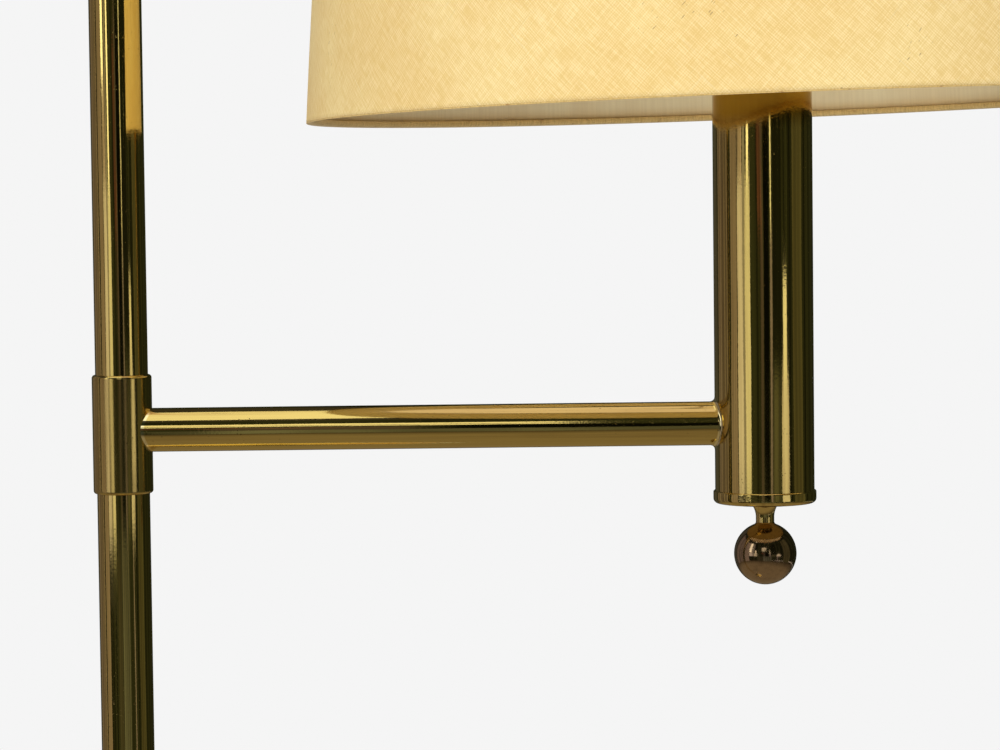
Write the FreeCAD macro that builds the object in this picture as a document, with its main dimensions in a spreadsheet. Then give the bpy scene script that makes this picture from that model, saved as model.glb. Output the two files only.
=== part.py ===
import FreeCAD, Part
import math
import os
import re
import Sketcher

# Bridge floor lamp: a weighted round base, a pole with a ball on top, a sleeve that turns on the
# pole and carries a horizontal arm, and on the arm's end an upright housing with a ball knob
# below and a lit drum shade above.  Millimetres, +Z up, origin on the floor under the pole,
# arm along +X.

Vector = FreeCAD.Vector
doc = FreeCAD.newDocument("bridge_floor_lamp")

# --- Driving dimensions -----------------------------------------------------------------------

SIZES = {
    # pole and where the arm leaves it
    "arm_height": 1000, "pole_diameter": 25.4, "pole_wall": 1.2, "pole_above_arm": 400,
    "plug_length": 16, "finial_stud_length": 11, "finial_seat_height": 3,
    "finial_seat_overhang": 0.6, "finial_neck_length": 7,
    # base
    "base_diameter": 280, "base_rim_height": 10, "base_rim_round": 5, "base_dome": 5,
    "cover_wall": 0.9, "felt_thickness": 2, "felt_inset": 4, "weight_recess_diameter": 40,
    "weight_recess_depth": 9, "channel_width": 9.6, "weight_gap": 0.5,
    "foot_collar_diameter": 46, "foot_collar_height": 13, "foot_collar_lip": 1.6,
    "foot_collar_floor": 3, "foot_collar_skirt": 2.5,
    "inlet_bore": 6.4, "inlet_wall": 1, "inlet_flange_diameter": 9.8, "inlet_flange": 1.5,
    "inlet_length": 7,
    # threaded tube, its nuts and washers
    "thread_diameter": 9.8, "thread_bore": 7, "nut_flats": 14, "nut_height": 3,
    "base_nut_height": 4.5, "base_washer_diameter": 26, "base_washer_height": 1.5,
    "thread_stand_out": 1,
    # turning joint on the pole
    "sleeve_wall": 1.6, "sleeve_above_arm": 26.9, "sleeve_below_arm": 30.5, "sleeve_round": 1.5,
    "swivel_gap": 28, "swivel_washer_height": 0.6, "spigot_wall": 2.5, "spigot_grip": 22,
    "swing_limit": 90, "stop_pin_diameter": 3, "stop_pin_rise": 7, "lead_hole": 9,
    "window_margin": 0.5,
    # arm and housing
    "reach": 310, "arm_diameter": 21.2, "arm_wall": 1.2, "braze_radius": 2.2,
    "housing_diameter": 47.9, "housing_wall": 1.2, "housing_below_arm": 32.5,
    "housing_above_arm": 188, "bottom_cap_diameter": 49.7, "bottom_cap_height": 6.2,
    "bottom_cap_round": 2.4, "bottom_cap_bead": 0.7, "cap_floor": 2.5, "cap_register": 4,
    "cap_register_wall": 1.5, "top_cap_height": 3.5, "top_cap_round": 1.2,
    # rotary switch and its ball knob
    "switch_diameter": 30, "switch_height": 20, "shaft_diameter": 6, "shaft_in_switch": 8,
    "knob_bore_depth": 12, "knob_gap": 0.3, "ball_diameter": 30.2, "ball_below_arm": 63.3,
    "neck_diameter": 8.9, "flare_diameter": 13.8, "flare_height": 6.6, "neck_foot": 1.1,
    "neck_foot_round": 1.8,
    # lamp socket and bulb
    "socket_diameter": 33.6, "socket_wall": 0.7, "socket_cap_height": 17, "socket_height": 50,
    "socket_hub_wall": 2, "socket_hub_height": 4, "bowl_round": 5, "bowl_rise": 2, "bowl_edge": 3,
    "socket_lip_height": 7, "socket_overlap": 5, "socket_bead": 0.8, "liner_wall": 0.5,
    "liner_setback": 1, "socket_core_rise": 9, "socket_core_height": 15, "screw_shell_wall": 0.5,
    "screw_shell_play": 0.3, "screw_shell_eye": 15, "contact_foot_diameter": 12,
    "contact_height": 1.2, "contact_foot": 0.4, "bulb_lift": 1.5, "nipple_in_socket": 6,
    "bulb_base_diameter": 26, "bulb_base_height": 24, "bulb_tip_diameter": 8, "bulb_tip": 0.2,
    "bulb_cone": 3, "bulb_cone_edge": 4, "bulb_base_wall": 1, "bulb_diameter": 60,
    "bulb_glass_height": 86, "bulb_neck_diameter": 27, "flank_angle": 35, "bulb_wall": 0.8,
    "contact_diameter": 7,
    "lead_diameter": 2.4, "lead_spacing": 3.2,
    # harp
    "saddle_thickness": 1.5, "saddle_width": 14, "saddle_spread": 56, "saddle_shoulder": 13,
    "saddle_bend": 4, "tongue_width": 4.6, "tongue_height": 12, "ferrule_bore": 5.6,
    "ferrule_wall": 0.6, "ferrule_height": 18, "ferrule_web": 2, "ferrule_rise": 0.9,
    "harp_grip": 3,
    "harp_wire": 3.2, "harp_angle": 30, "harp_bend": 50, "harp_leg": 8,
    "stud_diameter": 6.3, "stud_height": 11, "stud_flange_diameter": 13, "stud_flange": 2,
    "stud_chamfer": 0.6, "shade_finial_diameter": 15, "shade_finial_height": 20,
    "shade_finial_waist": 9, "shade_finial_foot": 2, "shade_finial_hollow": 10, "stud_room": 0.5,
    # shade
    "shade_diameter": 440.4, "shade_height": 280, "shade_taper": 4.9, "shade_above_arm": 152.3,
    "lean_angle": 1.44, "silk_thickness": 0.6, "lining_thickness": 0.6, "ring_wire": 3.2,
    "spider_drop": 15, "spider_wire": 3.2, "spider_hub_diameter": 24, "spider_hub": 1.6,
    "spider_arms": 3, "hem_height": 3, "hem_thickness": 0.4, "ring_clearance": 0.3,
    "ring_play": 0.1, "bottom_wire": 2.2, "hem_fold": 0.3, "hem_crease": 45,
    # fits
    "running_clearance": 0.08, "fit_clearance": 0.03, "end_clearance": 0.1, "stop_clearance": 0.4,
    "lean_clearance": 0.3,
}

sizes = doc.addObject("Spreadsheet::Sheet", "Sizes")
for row, (alias, number) in enumerate(SIZES.items(), start=1):
    sizes.set(f"A{row}", alias)
    sizes.set(f"B{row}", str(number))
    sizes.setAlias(f"B{row}", alias)
doc.recompute()

# Sizes and levels that follow from the driving ones; z levels are above the floor.
DERIVED = {
    "pole_bore": "pole_diameter - 2 * pole_wall",
    "cover_top": "felt_thickness + base_rim_height + base_rim_round + base_dome",
    "cover_eye": "thread_diameter + 2 * fit_clearance",
    "pole_foot": "cover_top + foot_collar_floor",
    "lower_pole_top": "arm_height - swivel_gap / 2",
    "upper_pole_foot": "arm_height + swivel_gap / 2",
    "pole_top": "arm_height + pole_above_arm",
    "recess_top": "felt_thickness + weight_recess_depth",
    "inlet_height": "felt_thickness + base_rim_height / 2",
    "inlet_diameter": "inlet_bore + 2 * inlet_wall",
    "dome_span": "base_diameter / 2 - base_rim_round - cover_eye / 2",
    "dome_radius": "(dome_span ^ 2 + base_dome ^ 2) / (2 * base_dome)",
    "sleeve_bore": "pole_diameter + 2 * running_clearance",
    "sleeve_diameter": "sleeve_bore + 2 * sleeve_wall",
    "spigot_diameter": "pole_bore - 2 * fit_clearance",
    "spigot_bore": "spigot_diameter - 2 * spigot_wall",
    "bush_diameter": "sleeve_bore - 2 * fit_clearance",
    "bush_bore": "spigot_diameter + 2 * running_clearance",
    "bush_height": "swivel_gap - 2 * swivel_washer_height - 4 * end_clearance",
    "window_angle": "swing_limit + stop_clearance + atan(stop_pin_diameter / spigot_bore) / 1deg",
    "arm_start": "sleeve_diameter / 2 + fit_clearance",
    "housing_bore": "housing_diameter - 2 * housing_wall",
    "housing_foot": "arm_height - housing_below_arm",
    "housing_top": "arm_height + housing_above_arm",
    "bottom_cap_foot": "housing_foot - bottom_cap_height",
    "bottom_cap_floor_top": "bottom_cap_foot + cap_floor",
    "switch_foot": "bottom_cap_floor_top + nut_height",
    "switch_top": "switch_foot + switch_height",
    "ball_centre": "arm_height - ball_below_arm",
    "knob_top": "bottom_cap_foot - knob_gap",
    "neck_bottom": "ball_centre + sqrt((ball_diameter / 2) ^ 2 - (neck_diameter / 2 + neck_foot) ^ 2)",
    "top_cap_top": "housing_top + top_cap_height",
    "top_cap_floor": "top_cap_top - cap_floor",
    "saddle_foot": "top_cap_top + nut_height",
    "saddle_top": "saddle_foot + saddle_thickness",
    "shoulder": "saddle_top + saddle_shoulder",
    "tongue_x": "saddle_spread / 2 - saddle_thickness / 2",
    "socket_lip": "saddle_top + socket_cap_height",
    "socket_top": "saddle_top + socket_height",
    "socket_core_foot": "saddle_top + socket_core_rise",
    "socket_core_top": "socket_core_foot + socket_core_height",
    "screw_shell_bore": "bulb_base_diameter + 2 * screw_shell_play",
    "bulb_foot": "socket_core_top + bulb_lift",
    "bulb_shoulder": "bulb_foot + bulb_base_height",
    "bulb_top": "bulb_shoulder + bulb_glass_height",
    # the leaning group is measured from the saddle's shoulder on the housing axis
    "rim_level": "arm_height + shade_above_arm - shoulder",
    "shade_top": "rim_level + shade_height",
    "seat_level": "shade_top - spider_drop",
    "harp_top": "seat_level - stud_flange - harp_wire / 2",
    "harp_foot": "ferrule_rise + ferrule_height - ferrule_web - harp_grip",
    "shade_radius": "shade_diameter / 2",
    "shade_top_radius": "shade_radius - shade_height * tan(shade_taper)",
    "skin_across": "silk_thickness / cos(shade_taper)",
    "lining_across": "lining_thickness / cos(shade_taper)",
    "frame_inset": "skin_across + lining_across + ring_wire / 2 + fit_clearance",
}


def bound(expression):
    """Spell an expression in plain names out as one on the spreadsheet's cells."""
    def spell(match):
        word = match.group()
        if word in DERIVED:
            return "(" + bound(DERIVED[word]) + ")"
        return "Sizes." + word if word in SIZES else word
    return re.sub(r"[a-z]\w*", spell, str(expression))


def value(expression):
    """The number that an expression in plain names has now."""
    result = sizes.evalExpression(bound(expression))
    return float(getattr(result, "Value", result))


# --- Sketches and features --------------------------------------------------------------------


def new_body(label):
    """An empty body under its own label."""
    body = doc.addObject("PartDesign::Body", label)
    body.Label = label
    return body


def new_sketch(body, role, offset=None):
    """A sketch on one of the body's origin planes, raised along the plane's normal."""
    plane = next(feature for feature in body.Origin.OriginFeatures if feature.Role == role)
    sketch = body.newObject("Sketcher::SketchObject", body.Name + "_sketch")
    sketch.AttachmentSupport = (plane, "")
    sketch.MapMode = "FlatFace"
    if offset is not None:
        sketch.setExpression("AttachmentOffset.Base.z", bound(offset))
    return sketch


def pin_point(sketch, edge, point, across, along):
    """Hold one end of an edge at a place given by two expressions."""
    for kind, expression in (("DistanceX", across), ("DistanceY", along)):
        index = sketch.addConstraint(Sketcher.Constraint(kind, edge, point, value(expression)))
        sketch.setExpression(f"Constraints[{index}]", bound(expression))


def draw_outline(sketch, corners):
    """A closed outline.  A corner is (across, along), or (across, along, radius) where the side
    to the next corner is an arc: a positive radius turns left on the way, a negative one right."""
    ends = []
    places = [Vector(value(corner[0]), value(corner[1]), 0) for corner in corners]
    for number, corner in enumerate(corners):
        start = places[number]
        end = places[(number + 1) % len(corners)]
        if len(corner) == 2:
            edge = sketch.addGeometry(Part.LineSegment(start, end), False)
            ends.append((edge, 1, 2))
            continue
        radius = value(corner[2])
        chord = end - start
        left = Vector(-chord.y, chord.x, 0).normalize()
        rise = math.sqrt(radius ** 2 - (chord.Length / 2) ** 2)
        centre = (start + end) * 0.5 + left * math.copysign(rise, radius)
        first, last = (start, end) if radius > 0 else (end, start)
        angles = [math.atan2(point.y - centre.y, point.x - centre.x) for point in (first, last)]
        circle = Part.Circle(centre, Vector(0, 0, 1), abs(radius))
        edge = sketch.addGeometry(Part.ArcOfCircle(circle, angles[0], angles[1]), False)
        ends.append((edge, 1, 2) if radius > 0 else (edge, 2, 1))
    for number, (edge, _, last) in enumerate(ends):
        following, first, _ = ends[(number + 1) % len(ends)]
        sketch.addConstraint(Sketcher.Constraint("Coincident", edge, last, following, first))
    for corner, (edge, first, _) in zip(corners, ends):
        pin_point(sketch, edge, first, corner[0], corner[1])
        if len(corner) == 3:
            radius = f"abs({corner[2]})"
            index = sketch.addConstraint(Sketcher.Constraint("Radius", edge, value(radius)))
            sketch.setExpression(f"Constraints[{index}]", bound(radius))


def draw_circle(sketch, diameter, across="0", along="0"):
    """A circle of a bound diameter about a bound centre."""
    centre = Vector(value(across), value(along), 0)
    edge = sketch.addGeometry(Part.Circle(centre, Vector(0, 0, 1), value(diameter) / 2), False)
    pin_point(sketch, edge, 3, across, along)
    index = sketch.addConstraint(Sketcher.Constraint("Diameter", edge, value(diameter)))
    sketch.setExpression(f"Constraints[{index}]", bound(diameter))


def draw_hexagon(sketch, flats):
    """A hexagon with the given width across its flats."""
    corner = f"{flats} / sqrt(3)"
    turns = range(0, 360, 60)
    draw_outline(sketch, [(f"{corner} * cos({turn})", f"{corner} * sin({turn})") for turn in turns])


def turn(body, corners):
    """Revolve a half profile of (radius, height) corners about the body's own Z axis."""
    sketch = new_sketch(body, "XZ_Plane")
    draw_outline(sketch, corners)
    feature = body.newObject("PartDesign::Revolution", body.Name + "_turned")
    feature.Profile = sketch
    feature.ReferenceAxis = (sketch, ["V_Axis"])
    feature.Angle = 360
    doc.recompute()
    return feature


def pad(body, sketch, length, symmetric=False):
    """Raise a sketch along its normal, or to both sides of it."""
    feature = body.newObject("PartDesign::Pad", body.Name + "_pad")
    feature.Profile = sketch
    feature.SideType = "Symmetric" if symmetric else "One side"
    feature.setExpression("Length", bound(length))
    doc.recompute()
    return feature


def cut(body, sketch, length, along_normal=False, symmetric=False):
    """Sink a sketch into the body against its normal, along it, or to both sides."""
    before = body.Shape.Volume
    feature = body.newObject("PartDesign::Pocket", body.Name + "_cut")
    feature.Profile = sketch
    feature.SideType = "Symmetric" if symmetric else "One side"
    feature.Reversed = along_normal
    feature.setExpression("Length", bound(length))
    doc.recompute()
    if body.Shape.Volume >= before:
        raise RuntimeError(body.Label + ": a cut removed nothing")
    return feature


def edges_where(shape, test):
    """Names of the edges whose middle passes a test."""
    names = []
    for number, edge in enumerate(shape.Edges, start=1):
        middle = edge.valueAt((edge.FirstParameter + edge.LastParameter) / 2)
        if test(edge, middle):
            names.append(f"Edge{number}")
    return names


def round_edges(body, radius, test):
    """Fillet the edges of the body's last feature that pass a test."""
    base = body.Tip
    feature = body.newObject("PartDesign::Fillet", body.Name + "_round")
    feature.Base = (base, edges_where(base.Shape, test))
    feature.setExpression("Radius", bound(radius))
    doc.recompute()
    return feature


def place(piece, level, across="0", leaning=False):
    """Put a piece at a height on the pole's axis, or across on the arm; a leaning piece is
    measured from the saddle's shoulder, about which harp and shade lean together."""
    if leaning:
        tilt = "lean_angle"
        piece.Placement = FreeCAD.Placement(Vector(), FreeCAD.Rotation(Vector(0, -1, 0), 1))
        piece.setExpression("Placement.Rotation.Angle", bound(tilt) + " * 1deg")
        along = f"({level})"
        piece.setExpression("Placement.Base.x", bound(
            f"reach + ({across}) * cos({tilt}) - {along} * sin({tilt})"))
        piece.setExpression("Placement.Base.z", bound(
            f"shoulder + ({across}) * sin({tilt}) + {along} * cos({tilt})"))
        return
    piece.setExpression("Placement.Base.x", bound(across))
    piece.setExpression("Placement.Base.z", bound(level))


def tube(label, level, length, outer, bore, across="0", leaning=False):
    """A plain round tube, standing on a level."""
    body = new_body(label)
    sketch = new_sketch(body, "XY_Plane")
    draw_circle(sketch, outer)
    draw_circle(sketch, bore)
    pad(body, sketch, length)
    place(body, level, across, leaning)
    return body


def rod(label, level, length, diameter, across="0"):
    """A plain round rod, standing on a level."""
    body = new_body(label)
    sketch = new_sketch(body, "XY_Plane")
    draw_circle(sketch, diameter)
    pad(body, sketch, length)
    place(body, level, across)
    return body


def nut(label, level, height, across="0"):
    """A hexagon nut on the threaded tube."""
    body = new_body(label)
    sketch = new_sketch(body, "XY_Plane")
    draw_hexagon(sketch, "nut_flats")
    draw_circle(sketch, "thread_diameter + 2 * fit_clearance")
    pad(body, sketch, height)
    place(body, level, across)
    return body


def side_hole(body, diameter, level, length, toward=1):
    """A round hole through the wall on the +X or the -X side, at a height in the body."""
    sketch = new_sketch(body, "YZ_Plane")
    draw_circle(sketch, diameter, "0", level)
    return cut(body, sketch, length, along_normal=toward > 0)


# --- Base -------------------------------------------------------------------------------------


def base_pieces():
    """Cast weight on a felt disc, under a spun cover, bolted to the pole by the threaded tube."""
    felt = new_body("base_felt")
    sketch = new_sketch(felt, "XY_Plane")
    draw_circle(sketch, "base_diameter - 2 * felt_inset")
    pad(felt, sketch, "felt_thickness")

    # The cover: a straight rim, a rolled shoulder and a low dome up to the eye at the pole.
    outer = "base_diameter / 2"
    rim_top = "base_rim_height"
    crown = "base_rim_height + base_rim_round"
    eye = "cover_eye / 2"
    cover = new_body("base_cover")
    turn(cover, [
        (outer, "0"),
        (outer, rim_top, "base_rim_round"),
        (f"{outer} - base_rim_round", crown, "dome_radius"),
        (eye, f"{crown} + base_dome"),
        (eye, f"{crown} + base_dome - cover_wall", "-(dome_radius - cover_wall)"),
        (f"{outer} - base_rim_round", f"{crown} - cover_wall", "-(base_rim_round - cover_wall)"),
        (f"{outer} - cover_wall", rim_top),
        (f"{outer} - cover_wall", "0"),
    ])
    side_hole(cover, "inlet_diameter + 2 * fit_clearance", "base_rim_height / 2", "base_diameter",
              -1)
    place(cover, "felt_thickness")

    # The weight fills the cover; nut and washer sit in its recess, and a channel lets the flex in.
    inner = "base_diameter / 2 - cover_wall - weight_gap"
    inner_round = "base_rim_round - cover_wall"
    skin = "cover_wall + fit_clearance"
    recess = "weight_recess_diameter / 2"
    weight = new_body("base_weight")
    turn(weight, [
        (inner, "0"),
        (inner, rim_top, inner_round),
        (f"{inner} - ({inner_round})", f"{crown} - ({skin})", "dome_radius"),
        (eye, f"{crown} + base_dome - ({skin}) - 0.5 * fit_clearance"),
        (eye, "weight_recess_depth"),
        (recess, "weight_recess_depth"),
        (recess, "0"),
    ])
    channel = new_sketch(weight, "YZ_Plane")
    half = "channel_width / 2"
    roof = "base_rim_height / 2 + channel_width / 2"
    draw_outline(channel, [(f"-{half}", "0"), (half, "0"), (half, roof), (f"-{half}", roof)])
    cut(weight, channel, outer)
    place(weight, "felt_thickness")

    washer = tube("base_washer", "recess_top - base_washer_height", "base_washer_height",
                  "base_washer_diameter", "thread_diameter + 2 * fit_clearance")
    lock = nut("base_locknut", "recess_top - base_washer_height - base_nut_height",
               "base_nut_height")
    nipple_foot = "recess_top - base_washer_height - base_nut_height - thread_stand_out"
    nipple = tube("base_nipple", nipple_foot, f"pole_foot + plug_length - ({nipple_foot})",
                  "thread_diameter", "thread_bore")

    # Turned collar: a skirt, a hollow sweep up to a lip round the pole, and a seat for its end.
    collar = new_body("foot_collar")
    foot = "foot_collar_diameter / 2"
    neck = "pole_diameter / 2 + fit_clearance + foot_collar_lip"
    sweep_rise = "foot_collar_height - foot_collar_skirt"
    sweep_run = f"({foot} - ({neck}))"
    sweep = f"({sweep_run} ^ 2 + ({sweep_rise}) ^ 2) / (2 * {sweep_run})"
    turn(collar, [
        (eye, "0"),
        (foot, "0"),
        (foot, "foot_collar_skirt", f"-({sweep})"),
        (neck, "foot_collar_height"),
        ("pole_diameter / 2 + fit_clearance", "foot_collar_height"),
        ("pole_diameter / 2 + fit_clearance", "foot_collar_floor"),
        (eye, "foot_collar_floor"),
    ])
    place(collar, "cover_top")

    # Bush in the back of the rim, where the flex comes in.
    bush = new_body("flex_inlet_bush")
    bore = "inlet_bore / 2"
    turn(bush, [
        (bore, "0"),
        ("inlet_diameter / 2", "0"),
        ("inlet_diameter / 2", "inlet_length"),
        ("inlet_flange_diameter / 2", "inlet_length"),
        ("inlet_flange_diameter / 2", "inlet_length + inlet_flange / 2", "inlet_flange / 2"),
        ("inlet_flange_diameter / 2 - inlet_flange / 2", "inlet_length + inlet_flange"),
        (bore, "inlet_length + inlet_flange"),
    ])
    bush.Placement = FreeCAD.Placement(Vector(), FreeCAD.Rotation(Vector(0, 1, 0), -90))
    bush.setExpression("Placement.Base.x", bound(f"inlet_length - {outer} - end_clearance"))
    bush.setExpression("Placement.Base.z", bound("inlet_height"))
    return [felt, cover, weight, washer, lock, nipple, collar, bush]


# --- Pole and turning joint -------------------------------------------------------------------


def threaded_plug(label, level, length):
    """Plug brazed into a tube's end, with a tapped eye."""
    return tube(label, level, length, "pole_bore - 2 * fit_clearance",
                "thread_diameter + 2 * fit_clearance")


def pole_pieces():
    """Two tubes end to end on an inner spigot, with the captive bush of the arm between them."""
    lower = tube("lower_pole", "pole_foot", "lower_pole_top - pole_foot", "pole_diameter",
                 "pole_bore")
    upper = tube("upper_pole", "upper_pole_foot", "pole_top - upper_pole_foot", "pole_diameter",
                 "pole_bore")
    foot_plug = threaded_plug("pole_foot_plug", "pole_foot", "plug_length")
    top_plug = threaded_plug("pole_top_plug", "pole_top - plug_length", "plug_length")

    # Spigot: its window lets the leads and the stop pin swing with the arm.
    spigot = tube("pole_spigot", "lower_pole_top - spigot_grip", "swivel_gap + 2 * spigot_grip",
                  "spigot_diameter", "spigot_bore")
    middle = "spigot_grip + swivel_gap / 2"
    window = new_sketch(spigot, "XY_Plane", f"{middle} - lead_hole / 2 - window_margin")
    reach_out = "spigot_diameter"
    draw_outline(window, [
        ("0", "0"),
        (f"{reach_out} * cos(window_angle)", f"-{reach_out} * sin(window_angle)"),
        (f"2 * {reach_out}", f"-2 * {reach_out}"),
        (f"2 * {reach_out}", f"2 * {reach_out}"),
        (f"{reach_out} * cos(window_angle)", f"{reach_out} * sin(window_angle)"),
    ])
    cut(spigot, window, "lead_hole / 2 + stop_pin_rise + stop_pin_diameter / 2 + 2 * window_margin",
        along_normal=True)

    washers = []
    for label, level in (("lower_swivel_washer", "lower_pole_top + end_clearance"),
                         ("upper_swivel_washer",
                          "upper_pole_foot - end_clearance - swivel_washer_height")):
        washers.append(tube(label, level, "swivel_washer_height",
                            "bush_diameter - 2 * fit_clearance", "bush_bore"))

    # Finial: a seat on the tube's end, a short neck and a ball, with a stud into the plug.
    finial = new_body("pole_finial")
    seat = "pole_diameter / 2 + finial_seat_overhang"
    stud = "thread_diameter / 2"
    neck = "neck_diameter / 2"
    ball = "ball_diameter / 2"
    ball_level = f"(finial_seat_height + finial_neck_length + sqrt(({ball}) ^ 2 - ({neck}) ^ 2))"
    turn(finial, [
        ("0", "-finial_stud_length"),
        (stud, "-finial_stud_length"),
        (stud, "0"),
        (seat, "0"),
        (seat, "finial_seat_height - finial_seat_overhang", "finial_seat_overhang"),
        (f"{seat} - finial_seat_overhang", "finial_seat_height"),
        (f"{neck} + finial_neck_length / 2", "finial_seat_height", "-finial_neck_length / 2"),
        (neck, "finial_seat_height + finial_neck_length / 2"),
        (neck, "finial_seat_height + finial_neck_length", ball),
        (ball, ball_level, ball),
        ("0", f"{ball_level} + {ball}"),
    ])
    place(finial, "pole_top")
    return [lower, upper, foot_plug, top_plug, spigot, finial] + washers


def swivel_pieces():
    """The outer sleeve, the bush fixed inside it and the pin that stops the swing."""
    sleeve = tube("swivel_sleeve", "arm_height - sleeve_below_arm",
                  "sleeve_above_arm + sleeve_below_arm", "sleeve_diameter", "sleeve_bore")
    inside = value("sleeve_diameter / 2 - end_clearance")
    round_edges(sleeve, "sleeve_round", lambda edge, middle: edge.Length > math.tau * inside
                and math.hypot(middle.x, middle.y) > inside)
    side_hole(sleeve, "lead_hole", "sleeve_below_arm", "sleeve_diameter")

    bush = tube("swivel_bush", "arm_height - bush_height / 2", "bush_height", "bush_diameter",
                "bush_bore")
    side_hole(bush, "lead_hole", "bush_height / 2", "sleeve_diameter")
    side_hole(bush, "stop_pin_diameter + 2 * fit_clearance", "bush_height / 2 + stop_pin_rise",
              "sleeve_diameter")

    pin = new_body("stop_pin")
    sketch = new_sketch(pin, "YZ_Plane")
    draw_circle(sketch, "stop_pin_diameter")
    pad(pin, sketch, "bush_diameter / 2 - spigot_bore / 2 - end_clearance")
    pin.setExpression("Placement.Base.x", bound("spigot_bore / 2"))
    pin.setExpression("Placement.Base.z", bound("arm_height + stop_pin_rise"))
    return [sleeve, bush, pin]


# --- Arm --------------------------------------------------------------------------------------


def cylinder(label, diameter, length):
    """A construction cylinder of the arm."""
    piece = doc.addObject("Part::Cylinder", label)
    piece.setExpression("Radius", bound(f"({diameter}) / 2"))
    piece.setExpression("Height", bound(length))
    return piece


def lying(piece, across):
    """Lay a construction cylinder along the arm."""
    piece.Placement = FreeCAD.Placement(Vector(), FreeCAD.Rotation(Vector(0, 1, 0), 90))
    piece.setExpression("Placement.Base.x", bound(across))
    piece.setExpression("Placement.Base.z", bound("arm_height"))
    return piece


def standing(piece, across):
    """Stand a construction cylinder across the arm, centred on its height."""
    piece.setExpression("Placement.Base.x", bound(across))
    piece.setExpression("Placement.Base.z", bound("arm_height - arm_diameter"))
    return piece


def boolean(kind, label, base, tool):
    """A boolean of two pieces."""
    piece = doc.addObject(kind, label)
    piece.Base = base
    piece.Tool = tool
    return piece


def arm_pieces():
    """Tube coped to the sleeve at one end and to the housing at the other, where a polished
    fillet of braze flares it out."""
    stock = lying(cylinder("arm_stock", "arm_diameter", "reach"), "0")
    post = standing(cylinder("arm_post", "housing_diameter + 2 * fit_clearance",
                             "2 * arm_diameter"), "reach")
    joined = boolean("Part::Fuse", "arm_joined", stock, post)
    doc.recompute()
    # the seam is the one curved edge in front of the post's axis that is no taller than the arm
    radius = value("braze_radius")
    seam = []
    for number, edge in enumerate(joined.Shape.Edges, start=1):
        box = edge.BoundBox
        curved = box.XLength > value("arm_wall") / 2 and box.YLength > radius
        if curved and box.XMax < value("reach") and box.ZLength < value("arm_diameter + arm_wall"):
            seam.append((number, radius, radius))
    flared = doc.addObject("Part::Fillet", "arm_flared")
    flared.Base = joined
    flared.Edges = seam
    doc.recompute()
    housing_cope = standing(cylinder("housing_cope", "housing_diameter + 2 * fit_clearance",
                                     "2 * arm_diameter"), "reach")
    sleeve_cope = standing(cylinder("sleeve_cope", "sleeve_diameter + 2 * fit_clearance",
                                    "2 * arm_diameter"), "0")
    bore = lying(cylinder("arm_bore", "arm_diameter - 2 * arm_wall", "reach"), "0")
    freed = boolean("Part::Cut", "arm_freed", flared, housing_cope)
    coped = boolean("Part::Cut", "arm_coped", freed, sleeve_cope)
    bored = boolean("Part::Cut", "arm_tube", coped, bore)
    doc.recompute()
    return [bored]


# --- Housing, switch and ball knob ------------------------------------------------------------


def housing_pieces():
    """Upright tube with a turned cap at each end."""
    shell = tube("housing_tube", "housing_foot", "housing_top - housing_foot", "housing_diameter",
                 "housing_bore", "reach")
    side_hole(shell, "lead_hole", "housing_below_arm", "housing_diameter", -1)

    # Bottom cap: a bead at the seam, a rounded foot, a floor with the switch's eye and a
    # register that fits the tube.
    bottom = new_body("housing_bottom_cap")
    outer = "bottom_cap_diameter / 2"
    register = "housing_bore / 2 - fit_clearance"
    switch_eye = "thread_diameter / 2 + fit_clearance"
    turn(bottom, [
        (switch_eye, "0"),
        (f"{outer} - bottom_cap_round", "0", "bottom_cap_round"),
        (outer, "bottom_cap_round"),
        (outer, "bottom_cap_height - bottom_cap_bead", "bottom_cap_bead"),
        (f"{outer} - bottom_cap_bead", "bottom_cap_height"),
        (register, "bottom_cap_height"),
        (register, "bottom_cap_height + cap_register"),
        (f"{register} - cap_register_wall", "bottom_cap_height + cap_register"),
        (f"{register} - cap_register_wall", "cap_floor"),
        (switch_eye, "cap_floor"),
    ])
    place(bottom, "bottom_cap_foot", "reach")

    top = new_body("housing_top_cap")
    rim = "housing_diameter / 2"
    floor = "top_cap_height - cap_floor"
    turn(top, [
        (switch_eye, floor),
        (f"{register} - cap_register_wall", floor),
        (f"{register} - cap_register_wall", "-cap_register"),
        (register, "-cap_register"),
        (register, "0"),
        (rim, "0"),
        (rim, "top_cap_height - top_cap_round", "top_cap_round"),
        (f"{rim} - top_cap_round", "top_cap_height"),
        (switch_eye, "top_cap_height"),
    ])
    place(top, "housing_top", "reach")
    return [shell, bottom, top]


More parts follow.
